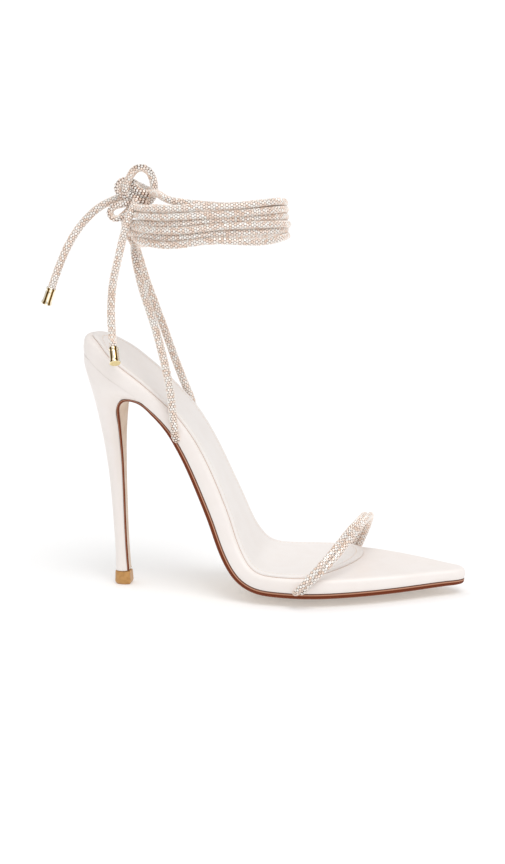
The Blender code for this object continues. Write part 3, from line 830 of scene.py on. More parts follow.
class NodeMaker(NodeWork):
    """A Geometry Nodes tree with named inputs, run on chains of points."""

    def __init__(self, name: str, inputs: Sequence[tuple[str, str]]) -> None:
        """Start the tree.

        Args:
            name: name of the tree.
            inputs: names of the inputs with their socket kinds.
        """
        self.tree = bpy.data.node_groups.new(name, "GeometryNodeTree")
        face = self.tree.interface
        face.new_socket("Geometry", in_out="INPUT", socket_type="NodeSocketGeometry")
        self.ids = {}
        for label, kind in inputs:
            socket = face.new_socket(label, in_out="INPUT", socket_type=f"NodeSocket{kind}")
            self.ids[label] = socket.identifier
        face.new_socket("Geometry", in_out="OUTPUT", socket_type="NodeSocketGeometry")
        self.given = self.tree.nodes.new("NodeGroupInput").outputs
        self.result = self.tree.nodes.new("NodeGroupOutput").inputs

    def line(self) -> Socket:
        """The chains that the tree is given, as curves."""
        return self.node("GeometryNodeMeshToCurve", {"Mesh": self.given["Geometry"]}).outputs["Curve"]

    def even_points(self, line: Socket) -> bpy.types.Node:
        """Points along curves, a pitch apart."""
        links = {"Curve": line, "Length": self.given["Pitch"]}
        return self.node("GeometryNodeCurveToPoints", links, mode="LENGTH")

    def smooth(self, geometry: Socket) -> Socket:
        """Geometry shaded smooth."""
        links = {"Geometry": geometry, "Shade Smooth": True}
        return self.node("GeometryNodeSetShadeSmooth", links).outputs[0]

    def end(self, geometry: Socket) -> None:
        """Make geometry the tree's result."""
        self.feed(self.result["Geometry"], geometry)

    def run(self, name: str, chains: Sequence[Array], **values: object) -> bpy.types.Mesh:
        """Run the tree on chains of points.

        Args:
            name: name of the mesh.
            chains: points of each chain, in metres.
            values: the tree's inputs, with underscores for spaces.

        Returns:
            The plain mesh that the tree makes.
        """
        points = np.concatenate(chains)
        ends = np.cumsum([len(chain) for chain in chains])
        edges = [(i, i + 1) for i in range(len(points) - 1) if i + 1 not in ends]
        base = bpy.data.meshes.new(f"{name}_path")
        base.from_pydata(points.tolist(), edges, [])
        thing = bpy.data.objects.new(f"{name}_path", base)
        bpy.context.scene.collection.objects.link(thing)
        modifier = thing.modifiers.new("maker", "NODES")
        modifier.node_group = self.tree
        for label, value in values.items():
            modifier[self.ids[label.replace("_", " ")]] = value
        bpy.context.view_layer.update()
        graph = bpy.context.evaluated_depsgraph_get()
        mesh = bpy.data.meshes.new_from_object(thing.evaluated_get(graph))
        mesh.name = name
        thing.modifiers.remove(modifier)
        bpy.data.objects.remove(thing)
        bpy.data.meshes.remove(base)
        return mesh


class CrystalSleeve(NodeMaker):
    """Rings of faceted stones round a cord, set on a mesh core."""

    FACETS = 6
    TABLE_SHARE = 0.58
    CORE_SIDES = 12
    STONE_MARK = 1.0

    def __init__(self) -> None:
        """Build the tree."""
        super().__init__("crystal_sleeve", (
            ("Pitch", "Float"), ("Seat radius", "Float"), ("Core radius", "Float"), ("Around", "Int"),
            ("Stone radius", "Float"), ("Stone height", "Float"), ("Seed", "Int"),
            ("Core finish", "Material"), ("Stone finish", "Material")))
        line = self.line()
        joined = self.node("GeometryNodeJoinGeometry")
        for part in (self.core(line), self.stones(line)):
            self.feed(joined.inputs[0], part)
        whole = self.node("GeometryNodeRealizeInstances", {"Geometry": joined.outputs[0]}).outputs[0]
        whole = self.node("GeometryNodeSetMaterial", {
            "Geometry": whole, "Material": self.given["Core finish"]}).outputs[0]
        mark = self.node("GeometryNodeInputNamedAttribute", {"Name": "stone"}, data_type="FLOAT")
        is_stone = self.node("FunctionNodeCompare", {0: live(mark.outputs), 1: self.STONE_MARK / 2},
                             data_type="FLOAT", operation="GREATER_THAN").outputs[0]
        self.end(self.node("GeometryNodeSetMaterial", {
            "Geometry": whole, "Selection": is_stone, "Material": self.given["Stone finish"]}).outputs[0])

    def core(self, line: Socket) -> Socket:
        """Round mesh core along the cord.

        Args:
            line: the cord's curve.

        Returns:
            The core.
        """
        profile = self.node("GeometryNodeCurvePrimitiveCircle", {
            "Resolution": self.CORE_SIDES, "Radius": self.given["Core radius"]}).outputs["Curve"]
        return self.smooth(self.node("GeometryNodeCurveToMesh", {
            "Curve": line, "Profile Curve": profile, "Fill Caps": True}).outputs["Mesh"])

    def ring(self) -> Socket:
        """One ring of stones that face outwards.

        Returns:
            The ring, round the origin.
        """
        given = self.given
        cut = self.node("GeometryNodeMeshCone", {
            "Vertices": self.FACETS, "Radius Bottom": given["Stone radius"], "Depth": given["Stone height"],
            "Radius Top": self.math("MULTIPLY", given["Stone radius"], self.TABLE_SHARE)})
        stone = self.node("GeometryNodeDeleteGeometry", {
            "Geometry": cut.outputs["Mesh"], "Selection": cut.outputs["Bottom"]}, domain="FACE").outputs[0]
        seats = self.node("GeometryNodeMeshCircle", {
            "Vertices": given["Around"], "Radius": given["Seat radius"]}).outputs["Mesh"]
        outward = self.node("FunctionNodeAlignRotationToVector", {
            "Vector": self.node("GeometryNodeInputPosition").outputs[0]}, axis="Z").outputs[0]
        return self.node("GeometryNodeInstanceOnPoints", {
            "Points": seats, "Instance": stone, "Rotation": outward}).outputs[0]

    def stones(self, line: Socket) -> Socket:
        """Rings of stones along the cord, every other one turned by half a stone.

        Args:
            line: the cord's curve.

        Returns:
            The stones, each with its own brightness.
        """
        points = self.even_points(line)
        odd = self.math("MODULO", self.node("GeometryNodeInputIndex").outputs[0], 2.0)
        half_step = self.math("DIVIDE", math.pi, self.given["Around"])
        twist = self.node("ShaderNodeCombineXYZ", {"Z": self.math("MULTIPLY", odd, half_step)}).outputs[0]
        twist = self.node("FunctionNodeEulerToRotation", {0: twist}).outputs[0]
        turned = self.node("FunctionNodeRotateRotation", {
            0: points.outputs["Rotation"], 1: twist}, rotation_space="LOCAL").outputs[0]
        rings = self.node("GeometryNodeInstanceOnPoints", {
            "Points": points.outputs["Points"], "Instance": self.ring(), "Rotation": turned}).outputs[0]
        stones = self.node("GeometryNodeRealizeInstances", {"Geometry": rings}).outputs[0]
        island = self.node("GeometryNodeInputMeshIsland").outputs["Island Index"]
        chance = self.node("FunctionNodeRandomValue", {
            "ID": island, "Seed": self.given["Seed"]}, data_type="FLOAT")
        stones = self.stored(stones, "glint", live(chance.outputs))
        return self.stored(stones, "stone", self.STONE_MARK)

    def stored(self, geometry: Socket, name: str, value: object) -> Socket:
        """Store a value on each point of a geometry.

        Args:
            geometry: the geometry.
            name: name of the value.
            value: the value, as an output or a number.

        Returns:
            The geometry with the value on it.
        """
        node = self.node("GeometryNodeStoreNamedAttribute", {"Geometry": geometry, "Name": name},
                         data_type="FLOAT", domain="POINT")
        self.feed(live(node.inputs, "Value"), value)
        return node.outputs[0]


class StitchRow(NodeMaker):
    """Even stitches along a line."""

    SEGMENTS = 6
    RINGS = 5
    UNIT_RADIUS = 0.5

    def __init__(self) -> None:
        """Build the tree."""
        super().__init__("stitch_row", (
            ("Pitch", "Float"), ("Length", "Float"), ("Thickness", "Float"), ("Finish", "Material")))
        given = self.given
        points = self.even_points(self.line())
        bead = self.node("GeometryNodeMeshUVSphere", {
            "Segments": self.SEGMENTS, "Rings": self.RINGS, "Radius": self.UNIT_RADIUS}).outputs["Mesh"]
        size = self.node("ShaderNodeCombineXYZ", {
            "X": given["Thickness"], "Y": given["Thickness"], "Z": given["Length"]}).outputs[0]
        row = self.node("GeometryNodeInstanceOnPoints", {
            "Points": points.outputs["Points"], "Instance": bead, "Rotation": points.outputs["Rotation"],
            "Scale": size}).outputs[0]
        row = self.smooth(self.node("GeometryNodeRealizeInstances", {"Geometry": row}).outputs[0])
        self.end(self.node("GeometryNodeSetMaterial", {
            "Geometry": row, "Material": given["Finish"]}).outputs[0])


@dataclass(frozen=True)
class Finishes:
    """The finishes of the shoe, each made once."""

    leather: Material
    sock: Material
    sole: Material
    tip: Material
    gold: Material
    mesh: Material
    stone: Material
    thread: Material

    @classmethod
    def make(cls) -> "Finishes":
        """Build every finish.

        Returns:
            The finishes.
        """
        leather = Leather("cream_satin_leather", colour=(0.920, 0.860, 0.825), shade=(0.905, 0.840, 0.800))
        sock = Leather("cream_sock_leather", colour=(0.895, 0.850, 0.822), shade=(0.880, 0.830, 0.798),
                       roughness=(0.41, 0.52), edge=(0.52, 0.30, 0.17))
        looks = (leather, sock, SoleLeather(), Resin(), Gold(), MeshMetal(), Stone(), Thread())
        return cls(*(look.material() for look in looks))


@dataclass
class Board:
    """Wrapped footbed with its padded sock, sizes in millimetres."""

    bed: Bed
    finish: Finishes
    wall_height: float = 8.0
    sock_inset: float = 3.2
    sock_front: float = 62.5
    sock_taper: float = 20.0
    sock_skew: float = 0.34
    sock_gap: float = 0.12
    sock_thick: float = 1.5
    sock_fill: float = 0.7
    stitch_inset: float = 2.9
    stitch_level: float = 0.9
    stitch_pitch: float = 2.3
    stitch_length: float = 1.7
    stitch_thick: float = 0.42
    stitch_least: float = 0.05

    # Side profiles from the lower face up: inset, and share of the height
    WALL = ((0.45, 0.0), (0.08, 0.2), (0.0, 0.55), (0.5, 0.84), (1.5, 0.97), (2.8, 1.0))
    SOCK_EDGE = ((0.2, -0.15), (0.0, 0.35), (0.25, 0.8), (0.9, 1.0), (1.9, 1.04), (2.6, 0.98),
                 (2.9, 0.86), (3.2, 0.98), (4.2, 1.06))
    SKEW_POWER = 8
    BED_STEPS = (26, 150, 14)
    SOCK_STEPS = (26, 110, 30)
    WALL_STEPS = 15
    SOCK_EDGE_STEPS = 22
    ACROSS = 15

    def build_footbed(self) -> Piece:
        """Leather-wrapped board.

        Returns:
            The piece.
        """
        bed = self.bed
        stations = rounded(0.0, bed.length, (bed.HEEL_ROUND, bed.TOE_ROUND), self.BED_STEPS)
        ladder = fine_ladder(self.WALL, self.WALL_STEPS, self.wall_height)
        rings, _ = slab(bed.line.place, bed.outline, bed.middle, bed.under, bed.over,
                        ladder, stations, bed.length, self.ACROSS)
        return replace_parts(skin("footbed_cover", rings, self.finish.leather), "footbed")

    def sock_end(self) -> float:
        """Length of the sock along the footbed."""
        return self.bed.length - self.sock_front - self.sock_inset

    def sock_round(self) -> float:
        """Length of the sock's rounding at the heel."""
        return self.bed.HEEL_ROUND - self.sock_inset

    def sock_outline(self, s: Array) -> Array:
        """Half width of the sock."""
        ends = end_round(s, self.sock_round()) * end_round(self.sock_end() - s, self.sock_taper, power=3)
        return (self.bed.half(s + self.sock_inset) - self.sock_inset) * ends

    def sock_place(self, s: Array, y: Array, lift: Array) -> Array:
        """Points on the sock, whose front edge runs askew."""
        skew = self.sock_skew * y * (np.clip(s, 0, None) / self.sock_end()) ** self.SKEW_POWER
        return self.bed.line.place(s + self.sock_inset + skew, y, lift)

    def sock_base(self, s: Array, y: Array) -> Array:
        """Height of the sock's underside."""
        return self.bed.over(s + self.sock_inset, y) + self.sock_gap

    def sock_top(self, s: Array, y: Array) -> Array:
        """Height of the sock's top."""
        return self.sock_base(s, y) + self.sock_thick

    def sock_middle(self, s: Array) -> Array:
        """Middle of the sock across the foot."""
        return self.bed.middle(s + self.sock_inset)

    def sock_rings(self, ladder: Array, across: int) -> tuple[Array, Array]:
        """Rings of points that follow the sock.

        Args:
            ladder: rows of inset and share of the sock's height.
            across: number of points across each face.

        Returns:
            The points in millimetres, and the rim mark of each.
        """
        end = self.sock_end()
        stations = rounded(0.0, end, (self.sock_round(), self.sock_taper), self.SOCK_STEPS)
        return slab(self.sock_place, self.sock_outline, self.sock_middle, self.sock_base, self.sock_top,
                    ladder, stations, end, across)

    def build_sock(self) -> Piece:
        """Padded sock with its tan cut edge and a sewn channel near it.

        Returns:
            The piece.
        """
        ladder = fine_ladder(self.SOCK_EDGE, self.SOCK_EDGE_STEPS, self.sock_thick)
        rings, rim = self.sock_rings(ladder, self.ACROSS)
        piece = skin("insole_sock", rings, self.finish.sock, rim=rim)
        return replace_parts(piece, "insole")

    def build_stitches(self, maker: StitchRow) -> Piece:
        """Stitches in the sock's sewn channel.

        Args:
            maker: tree that makes the stitches.

        Returns:
            The piece.
        """
        ladder = np.array([(self.stitch_inset, self.stitch_level)] * 2)
        rings, _ = self.sock_rings(ladder, 1)
        near, far = rings[:, 0], rings[:, len(ladder) + 1]
        path = np.concatenate((near, far[::-1], near[:1]))
        keep = np.append(True, np.linalg.norm(np.diff(path, axis=0), axis=1) > self.stitch_least)
        mesh = maker.run("sock_stitches", [metres(path[keep])], Pitch=self.stitch_pitch * MM,
                         Length=self.stitch_length * MM, Thickness=self.stitch_thick * MM,
                         Finish=self.finish.thread)
        return add_piece("sock_stitches", mesh)


@dataclass
class Base:
    """Outsole, covered heel and top lift, sizes in millimetres."""

    bed: Bed
    flap: Flap
    finish: Finishes
    slim_length: float = 84.0
    past_join: float = 6.0
    flap_inset: float = 0.1
    front_share: float = 0.94
    seat_length: float = 44.5
    seat_inset: float = 0.3
    seat_gap: float = 0.04
    lift_back: float = 13.5
    lift_front: float = 23.0
    lift_half: float = 4.6
    lift_front_share: float = 0.82

    # Outsole's side profile from the lower face up: inset, and share of the thickness
    EDGE = ((2.0, 0.0), (1.15, 0.1), (0.7, 0.35), (0.5, 0.7), (0.5, 1.0))
    # Heel sections from the tip up: back edge along and above the floor, distance of the front edge along
    # the flap, and half width
    HEEL_ROWS = (
        (14.2, 7.7, 0.0, 3.9),
        (14.2, 21.0, 13.4, 3.7),
        (13.5, 38.0, 30.5, 3.8),
        (12.5, 56.0, 48.5, 4.4),
        (11.1, 71.0, 63.0, 6.0),
        (9.3, 85.0, 75.5, 8.8),
        (7.0, 99.0, 86.0, 12.8),
        (4.9, 110.5, 93.0, 16.8),
        (2.6, 119.8, 99.0, 20.4),
        (0.9, 126.4, 104.5, 22.8),
        (0.6, 128.7, 109.6, 23.8),
    )
    # Top lift from the floor up: height, and share of its full size
    LIFT_ROWS = ((0.0, 0.80), (0.12, 0.86), (0.4, 0.93), (0.9, 0.98), (1.6, 1.0), (3.5, 0.975),
                 (6.2, 0.945), (6.9, 0.93), (7.2, 0.90), (7.3, 0.86))
    ROUND_FROM = 0.42
    FRONT_SHARES = (0.5, 0.0, -0.5)
    BACK_STEPS = 41
    SIDE_STEPS = 8
    HEEL_STEPS = 80
    FLAP_STEPS = 44
    SOLE_STEPS = (2, 130, 14)
    SOLE_START = 0.01
    EDGE_STEPS = 12
    SOLE_ACROSS = 17

    def build_outsole(self) -> Piece:
        """Leather outsole with its flap down the heel's front.

        Returns:
            The piece.
        """
        flap = self.flap
        sole_from = flap.join + self.past_join
        stations = np.concatenate((
            np.linspace(0, self.slim_length, self.FLAP_STEPS)[:-1],
            np.linspace(self.slim_length, sole_from, self.FLAP_STEPS)[:-1],
            rounded(sole_from, flap.length, (self.SOLE_START, self.bed.TOE_ROUND), self.SOLE_STEPS)[1:]))
        ladder = fine_ladder(self.EDGE, self.EDGE_STEPS, flap.THICK)
        rings, rim = slab(flap.place, flap.outline, flap.middle, flap.bottom, flap.top,
                          ladder, stations, flap.length, self.SOLE_ACROSS, flap.ease)
        piece = skin("outsole_leather", rings, self.finish.sole, caps=(True, False), rim=rim)
        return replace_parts(piece, "outsole")

    def back_turn(self) -> Array:
        """Angles round the heel's back, from the outer to the inner side."""
        return np.linspace(-math.pi / 2, math.pi / 2, self.BACK_STEPS)

    def section(self, front: Sequence[float], back: Sequence[float], half: float,
                front_half: float) -> Array:
        """Ring round the heel: straight across its front, with full sides and a round back.

        Args:
            front: place of the front, along and above the floor.
            back: place of the back.
            half: largest half width.
            front_half: half width at the front.

        Returns:
            The ring's points.
        """
        turn = self.back_turn()
        side = np.linspace(0, self.ROUND_FROM, self.SIDE_STEPS + 1)[:-1]
        wide = front_half + (half - front_half) * np.sin(side / self.ROUND_FROM * math.pi / 2)
        round_back = self.ROUND_FROM + (1 - self.ROUND_FROM) * np.cos(turn)
        share = np.concatenate((side, round_back, side[::-1], np.zeros(len(self.FRONT_SHARES))))
        straight = front_half * np.array(self.FRONT_SHARES)
        y = np.concatenate((-wide, half * np.sin(turn), wide[::-1], straight))
        spot = np.asarray(front) + (np.asarray(back) - np.asarray(front)) * share[:, None]
        return np.stack((spot[:, 0], y, spot[:, 1]), 1)

    def seat(self) -> Array:
        """Ring of the heel's top, lying against the underside of the footbed.

        Returns:
            The ring's points.
        """
        bed = self.bed
        turn = self.back_turn()
        side = np.linspace(self.seat_length, bed.HEEL_ROUND, self.SIDE_STEPS + 1)[:-1]
        wide = bed.outline(side) - self.seat_inset
        back = bed.HEEL_ROUND - (bed.HEEL_ROUND - self.seat_inset) * np.cos(turn)
        s = np.concatenate((side, back, side[::-1], np.full(len(self.FRONT_SHARES), self.seat_length)))
        y = np.concatenate((-wide, (bed.half(back) - self.seat_inset) * np.sin(turn), wide[::-1],
                            wide[0] * np.array(self.FRONT_SHARES)))
        return bed.line.place(s, y, np.full_like(s, -self.seat_gap))

    def build_heel(self) -> Piece:
        """Covered stiletto heel.

        Returns:
            The piece.
        """
        rings = []
        for x, z, along, half in self.HEEL_ROWS:
            front = self.flap.line.place(np.array(along), np.array(0.0), np.array(SEAM))
            front_half = min(float(self.flap.narrow(along)) - self.flap_inset, half * self.front_share)
            rings.append(self.section(front[[0, 2]], (x, z), half, front_half))
        rings = np.array(rings + [self.seat()])
        knots = chords(rings.mean(1))
        fine = Smooth(knots, rings.reshape(len(rings), -1))(np.linspace(0, knots[-1], self.HEEL_STEPS))
        fine = fine.reshape(self.HEEL_STEPS, -1, 3)
        piece = skin("heel_cover", fine, self.finish.leather, caps=(True, True))
        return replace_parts(piece, "heel")

    def build_lift(self) -> Piece:
        """Top lift under the heel tip.

        Returns:
            The piece.
        """
        centre = (self.lift_back + self.lift_front) / 2
        reach = (self.lift_front - self.lift_back) / 2
        rings = [self.section((centre + reach * share, z), (centre - reach * share, z),
                              self.lift_half * share, self.lift_half * share * self.lift_front_share)
                 for z, share in self.LIFT_ROWS]
        piece = skin("heel_top_lift", np.array(rings), self.finish.tip, caps=(True, True))
        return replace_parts(piece, "top_lift")


@dataclass
class CordWork:
    """Crystal cords over the toes and round the ankle, sizes in millimetres."""

    finish: Finishes
    sleeve: CrystalSleeve
    radius: float = 2.1
    turn_radius: float = 1.90
    cord_step: float = 0.9
    girth_share: float = 0.9
    seat_share: float = 0.91
    core_share: float = 0.84
    stone_pitch: float = 1.30
    stone_step: float = 1.50
    stone_fill: float = 0.527
    stone_rise: float = 0.15
    strap_radius: float = 1.7
    strap_spread: float = 1.6
    strap_roll: float = 50.0
    strap_roll_in: tuple[float, float] = (0.0, 0.1)
    strap_roll_out: tuple[float, float] = (0.2, 0.5)
    strap_seed: int = 11
    ankle_seed: int = 21
    ring_centre: tuple[float, float] = (72.0, 0.0)
    ring_half: tuple[float, float] = (42.2, 33.0)
    ring_from: float = 12.0
    ring_step: float = 3.0

    TOE_STRAP_ROUTE = (
        (123.4, -35.8, 8.9),
        (124.6, -40.2, 9.4),
        (127.6, -42.5, 12.8),
        (133.2, -41.8, 18.8),
        (139.2, -37.4, 25.0),
        (145.2, -28.6, 31.9),
        (149.7, -17.4, 37.3),
        (152.9, -3.0, 40.2),
        (153.6, 13.0, 39.4),
        (150.8, 26.6, 33.0),
        (146.5, 36.9, 23.5),
        (143.2, 40.6, 16.8),
        (141.2, 40.2, 12.6),
        (140.2, 37.0, 10.9),
        (139.8, 33.6, 10.7),
    )
    OUTER_RISER_ROUTE = (
        (57.0, -17.8, 87.8),
        (55.6, -22.6, 88.0),
        (55.2, -25.5, 93.2),
        (54.8, -26.3, 101.0),
        (53.9, -26.1, 112.0),
        (50.2, -24.2, 131.0),
        (43.6, -20.6, 152.9),
        (36.3, -16.4, 173.8),
        (33.2, -12.6, 185.0),
    )
    INNER_RISER_ROUTE = (
        (56.8, 15.8, 91.8),
        (55.6, 20.4, 92.6),
        (54.4, 24.0, 97.4),
        (52.4, 23.0, 104.6),
        (48.4, 20.2, 117.0),
        (43.2, 18.0, 134.0),
        (36.2, 15.2, 156.8),
        (31.4, 13.2, 173.0),
        (28.6, 11.2, 184.6),
        (25.8, 7.6, 193.0),
        (24.2, 4.0, 199.4),
        (25.4, 1.4, 204.8),
        (28.4, -0.6, 209.6),
        (31.2, -2.4, 214.0),
    )
    KNOT_LEAD_ROUTE = (
        (78.6, -28.8, 216.9),
        (73.4, -29.4, 217.4),
        (67.6, -29.9, 218.0),
        (61.0, -29.4, 218.6),
        (55.6, -26.8, 219.2),
        (51.4, -22.2, 219.9),
        (47.4, -14.6, 220.2),
        (43.0, -8.0, 219.7),
        (38.0, -4.6, 219.2),
    )
    # Turns of the ring, counted in degrees from the back by way of the inner side to the front and the outer
    # side. Each row is one turn, from the lowest up, with its height at each count.
    TURN_COUNTS = (90.0, 190.0, 220.0, 245.0, 260.0, 275.0, 290.0, 315.0, 360.0)
    TURN_ROWS = (
        (187.0, 196.2, 196.4, 198.0, 198.5, 197.1, 195.5, 195.6, 195.2),
        (189.9, 200.1, 201.6, 202.3, 202.0, 200.6, 199.5, 199.4, 197.4),
        (192.8, 203.5, 205.7, 206.3, 205.8, 204.3, 203.3, 202.7, 199.4),
        (195.7, 207.5, 209.2, 209.5, 209.2, 208.0, 206.8, 205.7, 201.6),
        (198.6, 211.4, 212.8, 212.7, 212.4, 211.8, 210.8, 209.7, 207.0),
        (201.5, 215.5, 217.1, 216.7, 216.7, 216.0, 215.1, 213.8, 210.8),
    )
    # How far each turn stands out: at the inner side, at the front, along the outer side and at the back
    REACH_ROWS = (
        (1.4, -0.6, 0.5, -1.8),
        (-1.6, -1.4, -0.7, 2.2),
        (1.4, 0.0, 0.6, -2.2),
        (-1.6, -1.2, -0.8, 1.8),
        (1.2, -0.9, 0.5, -3.0),
        (-1.0, -1.3, 0.0, -4.2),
    )
    # Count, height and reach where the winding starts and on its last, part turn
    FIRST_TURN = ((0.0, 190.2, -0.4),)
    LAST_TURN = ((90.0, 204.9, -0.4), (190.0, 213.9, -3.8), (220.0, 215.2, -3.9), (248.0, 216.2, -3.8))

    def cord(self, name: str, routes: Sequence[Array], radius: float, seed: int) -> Piece:
        """Crystal cord piece along one or more smooth routes.

        Args:
            name: name of the piece.
            routes: close points of each route, in millimetres.
            radius: radius over the stones.
            seed: seed of the stones' brightness.

        Returns:
            The piece.
        """
        girth = 2 * math.pi * radius * self.girth_share
        around = int(round(girth / self.stone_step))
        mesh = self.sleeve.run(
            name, [metres(route) for route in routes], Pitch=self.stone_pitch * MM, Around=around, Seed=seed,
            Seat_radius=radius * self.seat_share * MM, Core_radius=radius * self.core_share * MM,
            Stone_radius=self.stone_fill * girth / around * MM, Stone_height=radius * self.stone_rise * MM,
            Core_finish=self.finish.mesh, Stone_finish=self.finish.stone)
        return add_piece(name, mesh)

    def build_toe_strap(self) -> Piece:
        """Two cords side by side over the toes, one rolling over the other near the outer side.

        Returns:
            The piece.
        """
        middle = smooth_route(self.TOE_STRAP_ROUTE)
        ahead = unit(np.gradient(middle, axis=0))
        wide = unit(np.array((1.0, 0.0, 0.0)) - ahead[:, :1] * ahead)
        thick = np.cross(ahead, wide)
        share = np.linspace(0, 1, len(middle))
        rolled = eased(*self.strap_roll_in, share) * (1 - eased(*self.strap_roll_out, share))
        roll = np.radians(self.strap_roll) * rolled
        across = wide * np.cos(roll)[:, None] + thick * np.sin(roll)[:, None]
        routes = [middle + across * self.strap_spread * side for side in (-1, 1)]
        piece = self.cord("toe_strap_cords", routes, self.strap_radius, self.strap_seed)
        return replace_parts(piece, "toe_strap")

    def wound(self) -> Array:
        """Points of the cord wound round the ankle, from the back to where it leaves for the knot.

        Returns:
            The points, in millimetres.
        """
        rows = list(self.FIRST_TURN)
        turns = zip(self.TURN_ROWS, self.REACH_ROWS)
        for number, (heights, (inner, front, outer, back)) in enumerate(turns):
            outside = [outer] * (len(heights) - len((inner, front, back)))
            counts = np.array(self.TURN_COUNTS) + FULL_TURN * number
            rows += zip(counts, heights, [inner, front] + outside + [back])
        whole_turns = FULL_TURN * len(self.TURN_ROWS)
        rows += [(count + whole_turns, height, reach) for count, height, reach in self.LAST_TURN]
        rows = np.array(rows)
        count = np.arange(rows[0, 0] + self.ring_from, rows[-1, 0], self.ring_step)
        height, reach = Smooth(rows[:, 0], rows[:, 1:])(count).T
        turn = np.radians(FULL_TURN / 2 - count)
        return np.stack((self.ring_centre[0] + (self.ring_half[0] + reach) * np.cos(turn),
                         self.ring_centre[1] + (self.ring_half[1] + reach) * np.sin(turn), height), 1)

    def build_ankle(self) -> list[Piece]:
        """Cord that rises from the shank, winds round the ankle and runs to the knot.

        Returns:
            The pieces: outer riser, lower and upper turns, and inner riser.
        """
        wound = self.wound()
        whole = np.concatenate((self.OUTER_RISER_ROUTE, wound, self.KNOT_LEAD_ROUTE))
        route = smooth_route(whole, self.cord_step)
        first, half = (int(np.argmin(np.linalg.norm(route - spot, axis=1)))
                       for spot in (wound[0], wound[len(wound) // 2]))
        inner = smooth_route(self.INNER_RISER_ROUTE, self.cord_step)
        parts = (("outer_riser_cord", route[:first + 1], self.radius),
                 ("ankle_turns_lower", route[first:half + 1], self.turn_radius),
                 ("ankle_turns_upper", route[half:], self.turn_radius),
                 ("inner_riser_cord", inner, self.radius))
        return [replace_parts(self.cord(name, [points], radius, seed), "ankle_strap")
                for seed, (name, points, radius) in enumerate(parts, self.ankle_seed)]


